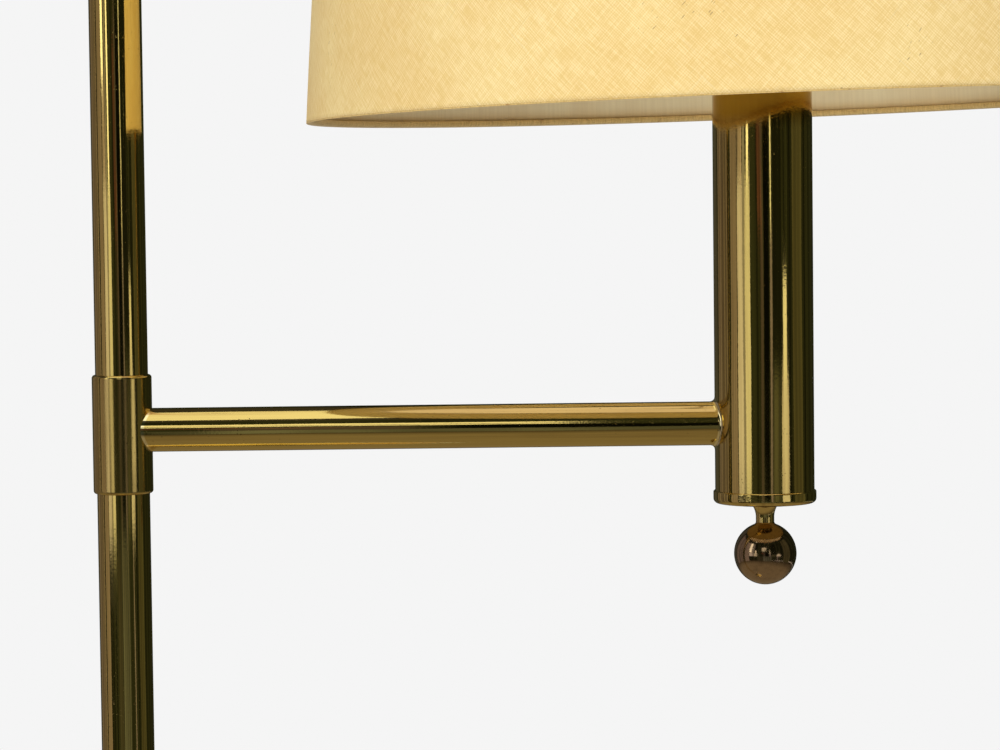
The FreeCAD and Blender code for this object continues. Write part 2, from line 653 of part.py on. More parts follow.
def switch_pieces():
    """Rotary switch held in the bottom cap by its threaded neck and a nut, and its ball knob."""
    switch = new_body("rotary_switch")
    shaft_eye = "shaft_diameter / 2 + running_clearance"
    threaded = "thread_diameter / 2"
    foot = "switch_foot - bottom_cap_foot"
    turn(switch, [
        (shaft_eye, "0"),
        (threaded, "0"),
        (threaded, foot),
        ("switch_diameter / 2", foot),
        ("switch_diameter / 2", f"{foot} + switch_height"),
        ("0", f"{foot} + switch_height"),
        ("0", f"{foot} + shaft_in_switch + end_clearance"),
        (shaft_eye, f"{foot} + shaft_in_switch + end_clearance"),
    ])
    place(switch, "bottom_cap_foot", "reach")
    lock = nut("switch_locknut", "bottom_cap_floor_top", "nut_height", "reach")

    shaft_foot = "knob_top - knob_bore_depth"
    shaft = rod("switch_shaft", shaft_foot, f"switch_foot + shaft_in_switch - ({shaft_foot})",
                "shaft_diameter", "reach")

    # Knob: a flare under the cap, a slim neck and a ball, bored for the shaft.
    knob = new_body("ball_knob")
    bore = "shaft_diameter / 2 + fit_clearance"
    neck = "neck_diameter / 2"
    flare = f"(flare_diameter / 2 - {neck})"
    sweep = f"({flare} ^ 2 + flare_height ^ 2) / (2 * {flare})"
    flare_foot = "knob_top - ball_centre - flare_height"
    joint = "neck_bottom - ball_centre"
    turn(knob, [
        ("0", "knob_top - ball_centre - knob_bore_depth"),
        ("0", "-ball_diameter / 2", "ball_diameter / 2"),
        (f"{neck} + neck_foot", joint, "-neck_foot_round"),
        (neck, f"{joint} + neck_foot"),
        (neck, flare_foot, f"-({sweep})"),
        ("flare_diameter / 2", "knob_top - ball_centre"),
        (bore, "knob_top - ball_centre"),
        (bore, "knob_top - ball_centre - knob_bore_depth"),
    ])
    place(knob, "ball_centre", "reach")
    return [switch, lock, shaft, knob]


# --- Lamp socket and bulb ---------------------------------------------------------------------


def socket_pieces():
    """Threaded tube and nuts on the top cap, the socket's shells, insulator and contacts."""
    nipple_foot = "top_cap_floor - nut_height - 2 * thread_stand_out"
    nipple = tube("socket_nipple", nipple_foot, f"saddle_top + nipple_in_socket - ({nipple_foot})",
                  "thread_diameter", "thread_bore", "reach")
    lower_nut = nut("lower_nipple_nut", "top_cap_floor - nut_height", "nut_height", "reach")
    upper_nut = nut("upper_nipple_nut", "top_cap_top", "nut_height", "reach")

    # Spun cap: a hub on the thread, opening in a bowl to the straight lip.
    cap = new_body("socket_cap")
    hub = "thread_diameter / 2 + fit_clearance"
    lip = "socket_diameter / 2"
    edge = f"{lip} - bowl_edge"
    bowl = "socket_cap_height - socket_lip_height"
    rise = "socket_hub_height + bowl_rise"
    turn(cap, [
        (hub, "0"),
        (f"{hub} + socket_hub_wall", "0"),
        (f"{hub} + socket_hub_wall", "socket_hub_height"),
        (edge, rise, "bowl_round"),
        (lip, bowl),
        (lip, "socket_cap_height"),
        (f"{lip} - socket_wall", "socket_cap_height"),
        (f"{lip} - socket_wall", bowl, "-(bowl_round - socket_wall)"),
        (edge, f"{rise} + socket_wall"),
        (hub, "socket_hub_height + socket_wall"),
    ])
    place(cap, "saddle_top", "reach")

    # Shell: slips inside the cap's lip, with a rolled bead above the joint and an open mouth.
    shell = new_body("socket_shell")
    skin = "socket_diameter / 2 - socket_wall - fit_clearance"
    inside = f"{skin} - socket_wall"
    turn(shell, [
        (inside, "-socket_overlap"),
        (skin, "-socket_overlap"),
        (skin, "end_clearance", "1.1 * socket_bead"),
        (skin, "end_clearance + 2 * socket_bead"),
        (skin, "socket_height - socket_cap_height"),
        (inside, "socket_height - socket_cap_height"),
    ])
    place(shell, "socket_lip", "reach")

    liner_outer = f"2 * ({inside}) - 2 * fit_clearance"
    liner_bore = f"{liner_outer} - 2 * liner_wall"
    liner = tube("socket_liner", "socket_core_foot",
                 "socket_top - socket_core_foot - liner_setback", liner_outer, liner_bore, "reach")
    core = tube("socket_core", "socket_core_foot", "socket_core_height",
                f"{liner_bore} - 2 * fit_clearance", "thread_bore", "reach")

    screw = new_body("socket_screw_shell")
    bore = "screw_shell_bore / 2"
    skirt = "bulb_base_height - thread_stand_out"
    turn(screw, [
        ("screw_shell_eye / 2", "0"),
        (f"{bore} + screw_shell_wall", "0"),
        (f"{bore} + screw_shell_wall", skirt),
        (bore, skirt),
        (bore, "screw_shell_wall"),
        ("screw_shell_eye / 2", "screw_shell_wall"),
    ])
    place(screw, "socket_core_top", "reach")

    # Centre contact: a sprung tongue, drawn as the low button that the bulb's tip meets.
    contact = new_body("socket_contact")
    turn(contact, [
        ("0", "0"),
        ("contact_foot_diameter / 2", "0"),
        ("contact_diameter / 2", "contact_foot"),
        ("contact_diameter / 2 - contact_foot", "contact_height"),
        ("0", "contact_height"),
    ])
    place(contact, "socket_core_top", "reach")
    return [nipple, lower_nut, upper_nut, cap, shell, liner, core, screw, contact]


def bulb_pieces():
    """Screw base and pear-shaped glass."""
    base = new_body("bulb_base")
    outer = "bulb_base_diameter / 2"
    cone_top = "bulb_cone + 1.5 * bulb_base_wall"
    turn(base, [
        ("0", "-bulb_tip"),
        ("bulb_tip_diameter / 2", "-bulb_tip"),
        (f"{outer} - bulb_cone_edge", "bulb_cone"),
        (outer, cone_top),
        (outer, "bulb_base_height"),
        (f"{outer} - bulb_base_wall", "bulb_base_height"),
        (f"{outer} - bulb_base_wall", f"{cone_top} + bulb_base_wall / 2"),
        ("0", "bulb_cone - bulb_base_wall"),
    ])
    place(base, "bulb_foot", "reach")

    # Glass: a thin shell with a neck out of the base, a hollow flank and the round head.
    glass = new_body("bulb_glass")
    head = "bulb_diameter / 2"
    neck = "bulb_neck_diameter / 2"
    head_level = f"(bulb_glass_height - {head})"
    flank = f"({head} * cos(flank_angle) - {neck}) / (1 - cos(flank_angle))"
    flank_top = f"({head_level} - {head} * sin(flank_angle))"
    flank_foot = f"{flank_top} - ({flank}) * sin(flank_angle)"
    inner_head = f"({head} - bulb_wall)"
    inner_top = f"({head_level} - {inner_head} * sin(flank_angle))"
    turn(glass, [
        (f"{neck} - bulb_wall", "0"),
        (neck, "0"),
        (neck, flank_foot, f"-({flank})"),
        (f"{head} * cos(flank_angle)", flank_top, head),
        ("0", "bulb_glass_height"),
        ("0", "bulb_glass_height - bulb_wall", f"-({inner_head})"),
        (f"{inner_head} * cos(flank_angle)", inner_top, f"{flank} + bulb_wall"),
        (f"{neck} - bulb_wall", flank_foot),
    ])
    place(glass, "bulb_shoulder", "reach")
    return [base, glass]


def lead_pieces():
    """The two leads from the switch up through the housing to the socket."""
    leads = []
    for label, side in (("switched_lead", "-1"), ("neutral_lead", "1")):
        leads.append(rod(label, "switch_top", "socket_core_foot - switch_top", "lead_diameter",
                         f"reach + {side} * lead_spacing / 2"))
    return leads


# --- Harp -------------------------------------------------------------------------------------


def saddle_piece():
    """Flat strip bent up at both ends into shoulders and narrow tongues."""
    saddle = new_body("harp_saddle")
    half = "saddle_spread / 2"
    plate = "saddle_thickness"
    top = "saddle_thickness + saddle_shoulder + tongue_height"
    strip = new_sketch(saddle, "XZ_Plane")
    draw_outline(strip, [
        (f"-{half} + saddle_bend", "0"),
        (f"{half} - saddle_bend", "0", "saddle_bend"),
        (half, "saddle_bend"),
        (half, top),
        (f"{half} - {plate}", top),
        (f"{half} - {plate}", "saddle_bend", f"-(saddle_bend - {plate})"),
        (f"{half} - saddle_bend", plate),
        (f"-{half} + saddle_bend", plate, f"-(saddle_bend - {plate})"),
        (f"-{half} + {plate}", "saddle_bend"),
        (f"-{half} + {plate}", top),
        (f"-{half}", top),
        (f"-{half}", "saddle_bend", "saddle_bend"),
    ])
    pad(saddle, strip, "saddle_width", symmetric=True)
    for side in ("", "-"):
        notch = new_sketch(saddle, "YZ_Plane")
        inner = f"{side}tongue_width / 2"
        outer = f"{side}saddle_width"
        shoulder = "saddle_thickness + saddle_shoulder"
        above = f"{top} + tongue_width"
        corners = [(inner, shoulder), (outer, shoulder), (outer, above), (inner, above)]
        draw_outline(notch, corners if side == "" else corners[::-1])
        cut(saddle, notch, "2 * saddle_spread", symmetric=True)
    eye = new_sketch(saddle, "XY_Plane")
    draw_circle(eye, "thread_diameter + 2 * fit_clearance")
    cut(saddle, eye, "2 * saddle_thickness", symmetric=True)
    place(saddle, "saddle_foot", "reach")
    return saddle


def harp_piece():
    """Round wire bow: upright legs, a bend outward, a long side and a tight shoulder at the
    top, all tangent.  The two last radii follow from the height and the spread."""
    splay = math.radians(value("harp_angle"))
    outward = value("harp_bend")
    leg_x = value("tongue_x")
    foot = value("harp_foot")
    leg_top = foot + value("harp_leg")
    leg_reach = leg_x + outward * (1 - math.cos(splay))
    shoulder = leg_reach / math.cos(splay)
    rise = value("harp_top") - leg_top - outward * math.sin(splay)
    side = (rise - shoulder * (1 - math.sin(splay))) / (2 * math.sin(splay))
    belly = Vector(leg_reach - side * math.cos(splay), 0,
                   leg_top + (outward + side) * math.sin(splay))

    def on_arc(centre, radius, angle):
        return centre + Vector(radius * math.cos(angle), 0, radius * math.sin(angle))

    bend_centre = Vector(leg_x + outward, 0, leg_top)
    top_centre = Vector(0, 0, value("harp_top") - shoulder)
    half = [
        Part.LineSegment(Vector(leg_x, 0, foot), Vector(leg_x, 0, leg_top)),
        Part.Arc(Vector(leg_x, 0, leg_top), on_arc(bend_centre, outward, math.pi - splay / 2),
                 on_arc(bend_centre, outward, math.pi - splay)),
        Part.Arc(on_arc(belly, side, -splay), on_arc(belly, side, 0), on_arc(belly, side, splay)),
        Part.Arc(on_arc(top_centre, shoulder, splay), on_arc(top_centre, shoulder, math.pi / 3),
                 on_arc(top_centre, shoulder, math.pi / 2)),
    ]
    right = [curve.toShape() for curve in half]
    left = [edge.mirror(Vector(), Vector(1, 0, 0)) for edge in right]
    path = Part.Wire(Part.__sortEdges__(right + left))
    start = Part.Circle(Vector(leg_x, 0, foot), Vector(0, 0, 1), value("harp_wire") / 2)
    section = Part.Wire(start.toShape())
    harp = doc.addObject("Part::Feature", "harp")
    harp.Shape = path.makePipeShell([section], True, False)
    place(harp, "0", leaning=True)
    return harp


def harp_pieces():
    """Saddle, bow, the two sliding ferrules that lock it and the stud for the shade."""
    ferrules = []
    for label, side in (("left_harp_ferrule", "-1"), ("right_harp_ferrule", "1")):
        ferrule = new_body(label)
        bore = "ferrule_bore / 2"
        skin = f"({bore} + ferrule_wall)"
        eye = "harp_wire / 2 + fit_clearance"
        lead = "ferrule_wall / 2"
        turn(ferrule, [
            (bore, "0"),
            (f"{skin} - {lead}", "0", lead),
            (skin, lead),
            (skin, "ferrule_height - ferrule_wall", "ferrule_wall"),
            (f"{skin} - ferrule_wall", "ferrule_height"),
            (eye, "ferrule_height"),
            (eye, "ferrule_height - ferrule_web"),
            (bore, "ferrule_height - ferrule_web"),
        ])
        place(ferrule, "ferrule_rise", f"{side} * tongue_x", leaning=True)
        ferrules.append(ferrule)

    stud = new_body("harp_stud")
    turn(stud, [
        ("0", "0"),
        ("stud_flange_diameter / 2", "0"),
        ("stud_flange_diameter / 2", "stud_flange"),
        ("stud_diameter / 2", "stud_flange"),
        ("stud_diameter / 2", "stud_flange + stud_height - stud_chamfer"),
        ("stud_diameter / 2 - stud_chamfer", "stud_flange + stud_height"),
        ("0", "stud_flange + stud_height"),
    ])
    place(stud, "seat_level - stud_flange", leaning=True)

    # Cap nut over the shade's hub: a flat seat, a waist and a small ball.
    finial = new_body("shade_finial")
    eye = "stud_diameter / 2 + fit_clearance"
    knob = "shade_finial_diameter / 2"
    waist = "shade_finial_waist / 2"
    roof = "stud_height - spider_hub + stud_room"
    ball_level = f"(shade_finial_height - {knob})"
    neck_level = f"({ball_level} - sqrt(({knob}) ^ 2 - ({waist}) ^ 2))"
    turn(finial, [
        (eye, "0"),
        (knob, "0"),
        (knob, "shade_finial_foot", "-shade_finial_hollow"),
        (waist, neck_level, knob),
        (knob, ball_level, knob),
        ("0", "shade_finial_height"),
        ("0", roof),
        (eye, roof),
    ])
    place(finial, "seat_level + spider_hub", leaning=True)
    return [saddle_piece(), harp_piece(), stud, finial] + ferrules


# --- Shade ------------------------------------------------------------------------------------


def cone_shell(label, level, height, outer_radius, across):
    """A tapered skin of even thickness; the radius is the outer one at the skin's foot."""
    body = new_body(label)
    run = f"({height}) * tan(shade_taper)"
    turn(body, [
        (f"{outer_radius} - ({across})", "0"),
        (outer_radius, "0"),
        (f"{outer_radius} - {run}", height),
        (f"{outer_radius} - {run} - ({across})", height),
    ])
    place(body, level, leaning=True)
    return body


def wire_ring(label, ring_radius, wire):
    """A ring of round wire about its own Z axis."""
    ring = doc.addObject("Part::Torus", label)
    ring.setExpression("Radius1", bound(ring_radius))
    ring.setExpression("Radius2", bound(f"({wire}) / 2"))
    return ring


def shade_pieces():
    """Tapered drum: silk over a stiff lining, wire rings rolled into hems, and the spider."""
    silk = cone_shell("shade_fabric", "rim_level", "shade_height", "shade_radius", "skin_across")
    backing_radius = "(shade_radius - skin_across - fit_clearance)"
    lining = cone_shell("shade_lining", "rim_level", "shade_height", backing_radius,
                        "lining_across")

    # Bottom hem: the silk's edge creased round the wire ring and up against the lining.
    inner_foot = "(shade_radius - skin_across - lining_across - 2 * fit_clearance)"
    wire_level = "bottom_wire / 2"
    wire_radius = (f"({inner_foot} - ({wire_level}) * (tan(shade_taper) + 1 / cos(shade_taper))"
                   " - fit_clearance)")
    inside = f"({wire_level} + fit_clearance)"
    outside = f"({inside} + hem_thickness)"
    hem_top = f"({wire_level} + {outside})"
    crease = "tan(hem_crease / 2)"
    bottom_hem = new_body("shade_bottom_hem")
    turn(bottom_hem, [
        ("shade_radius", "-fit_clearance"),
        (f"{wire_radius} - {inside} * {crease}", "-fit_clearance"),
        (f"{wire_radius} - {inside}", f"{wire_level} - {inside} * {crease}"),
        (f"{wire_radius} - {inside}", f"{wire_level} + {inside} * {crease}"),
        (f"{wire_radius} - {inside} * {crease}", f"{wire_level} + {inside}"),
        (f"{inner_foot} - {hem_top} * tan(shade_taper)", f"{wire_level} + {inside}"),
        (f"{inner_foot} - {hem_top} * tan(shade_taper)", hem_top),
        (f"{wire_radius} - {outside} * {crease}", hem_top),
        (f"{wire_radius} - {outside}", f"{wire_level} + {outside} * {crease}"),
        (f"{wire_radius} - {outside}", f"{wire_level} - {outside} * {crease}"),
        (f"{wire_radius} - {outside} * {crease}", f"{wire_level} - {outside}"),
        ("shade_radius - hem_fold", f"{wire_level} - {outside}"),
        ("shade_radius", f"{wire_level} - {outside} + hem_fold"),
    ])
    place(bottom_hem, "rim_level", leaning=True)
    bottom_ring = wire_ring("shade_bottom_ring", wire_radius, "bottom_wire")
    place(bottom_ring, f"rim_level + {wire_level}", leaning=True)

    # Top hem: a tape on the inside, turned over the edge that it protects.
    tape = "hem_thickness / cos(shade_taper)"
    rise = "hem_height * tan(shade_taper)"
    inner_top = "(shade_top_radius - skin_across - lining_across - 2 * fit_clearance)"
    top_hem = new_body("shade_top_hem")
    turn(top_hem, [
        (f"{inner_top} + {rise} - {tape}", "-hem_height"),
        (f"{inner_top} + {rise}", "-hem_height"),
        (inner_top, "fit_clearance"),
        ("shade_top_radius", "fit_clearance"),
        ("shade_top_radius", "fit_clearance + hem_thickness"),
        (f"{inner_top} - {tape}", "fit_clearance + hem_thickness"),
    ])
    place(top_hem, "shade_top", leaning=True)

    # Spider: hub washer under the finial, wire arms rising to the top ring, which lies inside
    # the lining just below the hem tape.
    ring_level = "hem_height + ring_wire / 2 + ring_clearance"
    slope = f"({ring_level}) * tan(shade_taper)"
    top_radius = f"(shade_top_radius - frame_inset + {slope} - ring_play)"
    drop = f"(spider_drop - ({ring_level}) - spider_hub / 2)"
    hub_radius = "(spider_hub_diameter / 2)"
    ring = wire_ring("spider_ring", top_radius, "ring_wire")
    ring.setExpression("Placement.Base.z", bound(drop))
    disc = cylinder("spider_disc", "spider_hub_diameter", "spider_hub")
    disc.setExpression("Placement.Base.z", bound("-spider_hub / 2"))
    spokes = []
    run = value(top_radius) - value(hub_radius) + value("spider_wire") / 2
    slant = math.degrees(math.atan2(run, value(drop)))
    back = 90  # heading of the first arm, away from the arm tube's front side
    for number in range(int(value("spider_arms"))):
        spoke = cylinder(f"spider_arm_{number + 1}", "spider_wire",
                         f"sqrt(({top_radius} - {hub_radius} + spider_wire / 2) ^ 2 + {drop} ^ 2)")
        heading = FreeCAD.Rotation(Vector(0, 0, 1), back + number * 360 / value("spider_arms"))
        tilt = FreeCAD.Rotation(Vector(0, 1, 0), slant)
        inner = heading.multVec(Vector(value(hub_radius) - value("spider_wire") / 2, 0, 0))
        spoke.Placement = FreeCAD.Placement(inner, heading.multiply(tilt))
        spokes.append(spoke)
    frame = doc.addObject("Part::MultiFuse", "spider_frame")
    frame.Shapes = [ring, disc] + spokes
    eye = cylinder("spider_eye", "stud_diameter + 2 * lean_clearance", "4 * spider_hub")
    eye.setExpression("Placement.Base.z", bound("-2 * spider_hub"))
    spider = boolean("Part::Cut", "shade_spider", frame, eye)
    place(spider, "seat_level + spider_hub / 2", leaning=True)
    doc.recompute()
    return [silk, lining, bottom_hem, top_hem, bottom_ring, spider]


# --- The lamp ---------------------------------------------------------------------------------

PIECES = (base_pieces() + pole_pieces() + swivel_pieces() + arm_pieces() + housing_pieces()
          + switch_pieces() + socket_pieces() + bulb_pieces() + lead_pieces() + harp_pieces()
          + shade_pieces())
doc.recompute()

for thing in doc.Objects:
    if "Invalid" in thing.State or "Error" in thing.State:
        raise RuntimeError(f"{thing.Label} failed: {thing.State}")
for piece in PIECES:
    if piece.Shape.isNull() or not piece.Shape.isValid() or not piece.Shape.Solids:
        raise RuntimeError(piece.Label + " has no valid solid")

os.makedirs("parts", exist_ok=True)
for piece in PIECES:
    piece.Shape.exportStep(f"parts/{piece.Label}.step")
    box = piece.Shape.BoundBox
    print(f"{piece.Label:22s} x {box.XMin:8.2f} {box.XMax:8.2f}  y {box.YMin:8.2f} {box.YMax:8.2f}"
          f"  z {box.ZMin:8.2f} {box.ZMax:8.2f}  {piece.Shape.Volume / 1000:9.3f} cm3")
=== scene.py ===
import math

import bpy
from mathutils import Matrix, Vector, noise


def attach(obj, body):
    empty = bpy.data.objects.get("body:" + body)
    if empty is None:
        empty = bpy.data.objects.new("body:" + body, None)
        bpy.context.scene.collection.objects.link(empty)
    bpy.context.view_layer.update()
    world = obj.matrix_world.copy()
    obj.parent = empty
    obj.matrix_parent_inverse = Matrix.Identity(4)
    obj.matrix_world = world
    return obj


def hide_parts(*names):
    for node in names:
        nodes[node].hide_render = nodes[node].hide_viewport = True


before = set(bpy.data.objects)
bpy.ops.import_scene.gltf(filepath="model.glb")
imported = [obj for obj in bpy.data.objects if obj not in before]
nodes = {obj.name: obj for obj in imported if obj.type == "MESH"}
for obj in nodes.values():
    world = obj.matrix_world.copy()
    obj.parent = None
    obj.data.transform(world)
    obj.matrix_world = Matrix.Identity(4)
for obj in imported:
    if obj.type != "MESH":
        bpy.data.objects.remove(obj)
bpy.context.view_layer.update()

# --- Base -------------------------------------------------------------------------------------
# A cast iron weight under a spun brass cover, on a disc of glued felt.  A washer and a nut on
# the threaded tube pull it against the turned collar in which the pole stands.


class Finish:
    """A procedural finish: textures in metres on the lamp itself, wired to one shader."""

    def __init__(self, name, **shader_values):
        self.material = bpy.data.materials.new(name)
        self.material.use_nodes = True
        self.tree = self.material.node_tree
        self.shader = self.tree.nodes["Principled BSDF"]
        for socket, value in shader_values.items():
            self.feed(self.shader.inputs[socket.replace("_", " ")], value)
        self.place = self.node("TexCoord").outputs["Object"]

    def feed(self, socket, value):
        if isinstance(value, bpy.types.NodeSocket):
            self.tree.links.new(value, socket)
        elif isinstance(value, tuple) and len(value) == 3 and socket.type == "RGBA":
            socket.default_value = (*value, 1)
        else:
            socket.default_value = value

    def node(self, kind, settings=None, **inputs):
        made = self.tree.nodes.new("ShaderNode" + kind)
        for key, value in (settings or {}).items():
            setattr(made, key, value)
        for socket, value in inputs.items():
            self.feed(made.inputs[socket.replace("_", " ")], value)
        return made

    def stretched(self, along, turned=0.0, place=None):
        """The lamp's coordinates, scaled per axis so that a texture runs along one of them."""
        return self.node("Mapping", Vector=place or self.place, Scale=along,
                         Rotation=(0, 0, turned)).outputs["Vector"]

    def clouds(self, size, along=(1, 1, 1), detail=2.0, rough=0.5, place=None, turned=0.0):
        """Soft noise with features of about the given size in metres."""
        where = self.stretched(along, turned, place)
        return self.node("TexNoise", Vector=where, Scale=1 / size, Detail=detail,
                         Roughness=rough).outputs["Fac"]

    def between(self, value, low, high, to_low=0.0, to_high=1.0):
        """A value eased from one range to another."""
        made = self.node("MapRange", {"interpolation_type": "SMOOTHSTEP"}, Value=value)
        for socket, number in (("From Min", low), ("From Max", high), ("To Min", to_low),
                               ("To Max", to_high)):
            self.feed(made.inputs[socket], number)
        return made.outputs["Result"]

    def sum(self, first, second, kind="ADD"):
        made = self.node("Math", {"operation": kind})
        self.feed(made.inputs[0], first)
        self.feed(made.inputs[1], second)
        return made.outputs["Value"]

    def blend(self, share, first, second, kind="MIX"):
        """One colour laid over another."""
        made = self.node("Mix", {"data_type": "RGBA", "blend_type": kind})
        self.feed(made.inputs["Factor"], share)
        self.feed(made.inputs[6], first)
        self.feed(made.inputs[7], second)
        return made.outputs[2]

    def relief(self, height, depth, under=None):
        """A bump of the given depth in metres, over the relief below it."""
        made = self.node("Bump", Height=height, Distance=depth)
        if under is not None:
            self.feed(made.inputs["Normal"], under)
        return made.outputs["Normal"]

    def colour(self, value):
        self.feed(self.shader.inputs["Base Color"], value)

    def roughness(self, value):
        self.feed(self.shader.inputs["Roughness"], value)

    def normal(self, value):
        self.feed(self.shader.inputs["Normal"], value)


def dress(names, material):
    """Give kept CAD nodes their finish."""
    for name in names:
        shape = nodes[name].data
        shape.materials.clear()
        shape.materials.append(material)


def brass(name, along, bright=(0.76, 0.59, 0.21), brown=(0.33, 0.215, 0.08), gloss=0.04,
          tarnished=0.5, patch=None):
    """Aged, polished brass.  along is small on the axis that the tube was drawn and rubbed on;
    patch gives a mask and the colour that the metal has there."""
    made = Finish(name, Metallic=1.0)
    patches = made.clouds(0.035, along, detail=6.0, rough=0.62)
    drawn = made.clouds(0.0022, tuple(share ** 2 for share in along), detail=3.0, rough=0.6)
    haze = made.clouds(0.012, along, detail=4.0, rough=0.7)
    pits = made.clouds(0.0011, detail=1.0)
    pitted = made.clouds(0.022, detail=2.0)
    worn = made.sum(made.between(patches, 0.42, 0.72), made.between(drawn, 0.35, 0.75, 0.35, 1.0),
                    "MULTIPLY")
    worn = made.sum(worn, tarnished, "MULTIPLY")
    speck = made.sum(made.between(pits, 0.72, 0.78), made.between(pitted, 0.56, 0.68), "MULTIPLY")
    tone = made.blend(worn, bright, brown)
    tone = made.blend(made.between(drawn, 0.45, 0.75, 0.0, 0.25), tone, brown)
    if patch:
        where, patch_colour = patch
        tone = made.blend(where(made), tone, patch_colour)
    made.colour(made.blend(speck, tone, (0.045, 0.028, 0.015)))
    shine = made.sum(made.between(haze, 0.35, 0.75, 0.0, 0.07), gloss)
    shine = made.sum(shine, made.sum(worn, 0.10, "MULTIPLY"))
    made.roughness(made.sum(shine, made.sum(speck, 0.15, "MULTIPLY")))
    # size and depth of the metal's relief, in metres: the tube's slow waves, lines left by
    # drawing, fine grain left by polishing, and pits
    wave, wave_depth = 0.028, 0.00045
    line, line_depth = 0.0016, 0.000012
    grain, grain_depth = 0.0013, 0.000007
    pit_depth = 0.00006
    relief = made.relief(made.clouds(wave, tuple(share ** 0.8 for share in along), detail=1.0),
                         wave_depth)
    relief = made.relief(made.clouds(line, tuple(share ** 2 for share in along), detail=2.0),
                         line_depth, relief)
    relief = made.relief(made.clouds(grain, detail=2.0), grain_depth, relief)
    made.normal(made.relief(speck, -pit_depth, relief))
    return made.material


UP, ALONG_ARM, ROUND = (1, 1, 0.12), (0.12, 1, 1), (1, 1, 1)

dress(["base_cover", "foot_collar"], brass("base_brass", ROUND, gloss=0.13, tarnished=0.8))

iron = Finish("cast_iron", Metallic=0.6)
sand = iron.clouds(0.0016, detail=4.0, rough=0.7)
iron.colour(iron.blend(iron.between(iron.clouds(0.02, detail=4.0), 0.4, 0.65),
                       (0.045, 0.043, 0.042), (0.11, 0.055, 0.03)))
iron.roughness(iron.between(sand, 0.3, 0.7, 0.55, 0.85))
iron.normal(iron.relief(sand, 0.0006))
dress(["base_weight"], iron.material)

zinc = Finish("zinc_steel", Metallic=1.0)
zinc_bloom = zinc.clouds(0.003, detail=5.0, rough=0.65)
zinc.colour(zinc.blend(zinc.between(zinc_bloom, 0.4, 0.7), (0.56, 0.56, 0.54), (0.40, 0.38, 0.33)))
zinc.roughness(zinc.between(zinc_bloom, 0.3, 0.7, 0.28, 0.5))
zinc.normal(zinc.relief(zinc.clouds(0.0004, detail=2.0), 0.00002))
dress(["base_washer", "base_locknut", "base_nipple", "socket_nipple", "lower_nipple_nut",
       "upper_nipple_nut", "switch_locknut", "stop_pin", "switch_shaft"], zinc.material)

inlet = Finish("inlet_plastic", Roughness=0.45)
inlet_grain = inlet.clouds(0.0006, detail=2.0)
inlet.colour(inlet.blend(inlet_grain, (0.012, 0.012, 0.012), (0.022, 0.021, 0.02)))
inlet.roughness(inlet.between(inlet_grain, 0.3, 0.7, 0.38, 0.52))
inlet.normal(inlet.relief(inlet_grain, 0.00003))
dress(["flex_inlet_bush"], inlet.material)


def turned(name, profile, steps, wobble=None, centre=(0, 0), closed=False):
    """A mesh turned about an upright axis from a profile of (radius, height) in metres.
    wobble moves a point, given its profile number, its angle and its place."""
    shape = bpy.data.meshes.new(name)
    corners, faces, row = [], [], len(profile)
    for step in range(steps):
        angle = step * math.tau / steps
        for number, (radius, height) in enumerate(profile):
            point = Vector((radius * math.cos(angle), radius * math.sin(angle), height))
            if wobble:
                point = wobble(number, angle, point)
            corners.append(point + Vector((*centre, 0)))
    last = row if closed else row - 1
    for step in range(steps):
        here, there = step * row, (step + 1) % steps * row
        for number in range(last):
            onward = (number + 1) % row
            faces.append((here + number, there + number, there + onward, here + onward))
    shape.from_pydata(corners, [], faces)
    shape.validate()
    shape.shade_smooth()
    made = bpy.data.objects.new(name, shape)
    bpy.context.scene.collection.objects.link(made)
    return made


FELT_RADIUS, FELT_THICKNESS, WANDER_SHARE = 0.136, 0.002, 0.0022


def felt_edge(number, angle, point):
    """The knife-cut edge of the felt wanders inwards by a few tenths of a millimetre."""
    if point.xy.length < FELT_RADIUS * 0.97:
        return point
    wander = noise.noise(Vector((math.cos(angle), math.sin(angle), 0)) * 9)
    point.xy *= 1 - WANDER_SHARE * (1 + wander)
    return point


felt_pad = turned("felt_pad", [
    (0.0002, 0), (0.07, 0), (FELT_RADIUS - 0.0012, 0), (FELT_RADIUS - 0.0003, 0.0004),
    (FELT_RADIUS, 0.001), (FELT_RADIUS - 0.0003, 0.0016),
    (FELT_RADIUS - 0.0012, FELT_THICKNESS), (0.07, FELT_THICKNESS), (0.0002, FELT_THICKNESS),
], 240, felt_edge, closed=True)
felt = Finish("felt", Roughness=0.95, Sheen_Weight=0.4, Sheen_Roughness=0.5)
fluff = felt.clouds(0.0009, detail=5.0, rough=0.75)
felt.colour(felt.blend(felt.between(fluff, 0.3, 0.7), (0.012, 0.030, 0.018), (0.03, 0.06, 0.038)))
felt.normal(felt.relief(fluff, 0.0005))
felt_pad.data.materials.append(felt.material)
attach(felt_pad, "stand")
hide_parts("base_felt")

# --- Pole -------------------------------------------------------------------------------------
# Two lengths of drawn brass tube, end to end on an inner spigot that the arm turns round, with
# a turned ball on top.  Polished and lacquered once, now brown in streaks where it has worn.

pole_brass = brass("aged_brass", UP)
dress(["lower_pole", "upper_pole", "pole_foot_plug", "pole_top_plug", "pole_spigot"], pole_brass)
dress(["pole_finial"], brass("finial_brass", ROUND, tarnished=0.7))

# --- Turning joint ----------------------------------------------------------------------------
# A brass sleeve on the pole carries the arm.  A nylon bush fixed in it turns on the spigot
# between two washers, and a steel pin in the spigot's window stops the swing.

dress(["swivel_sleeve"], brass("sleeve_brass", UP, gloss=0.10, tarnished=0.75))

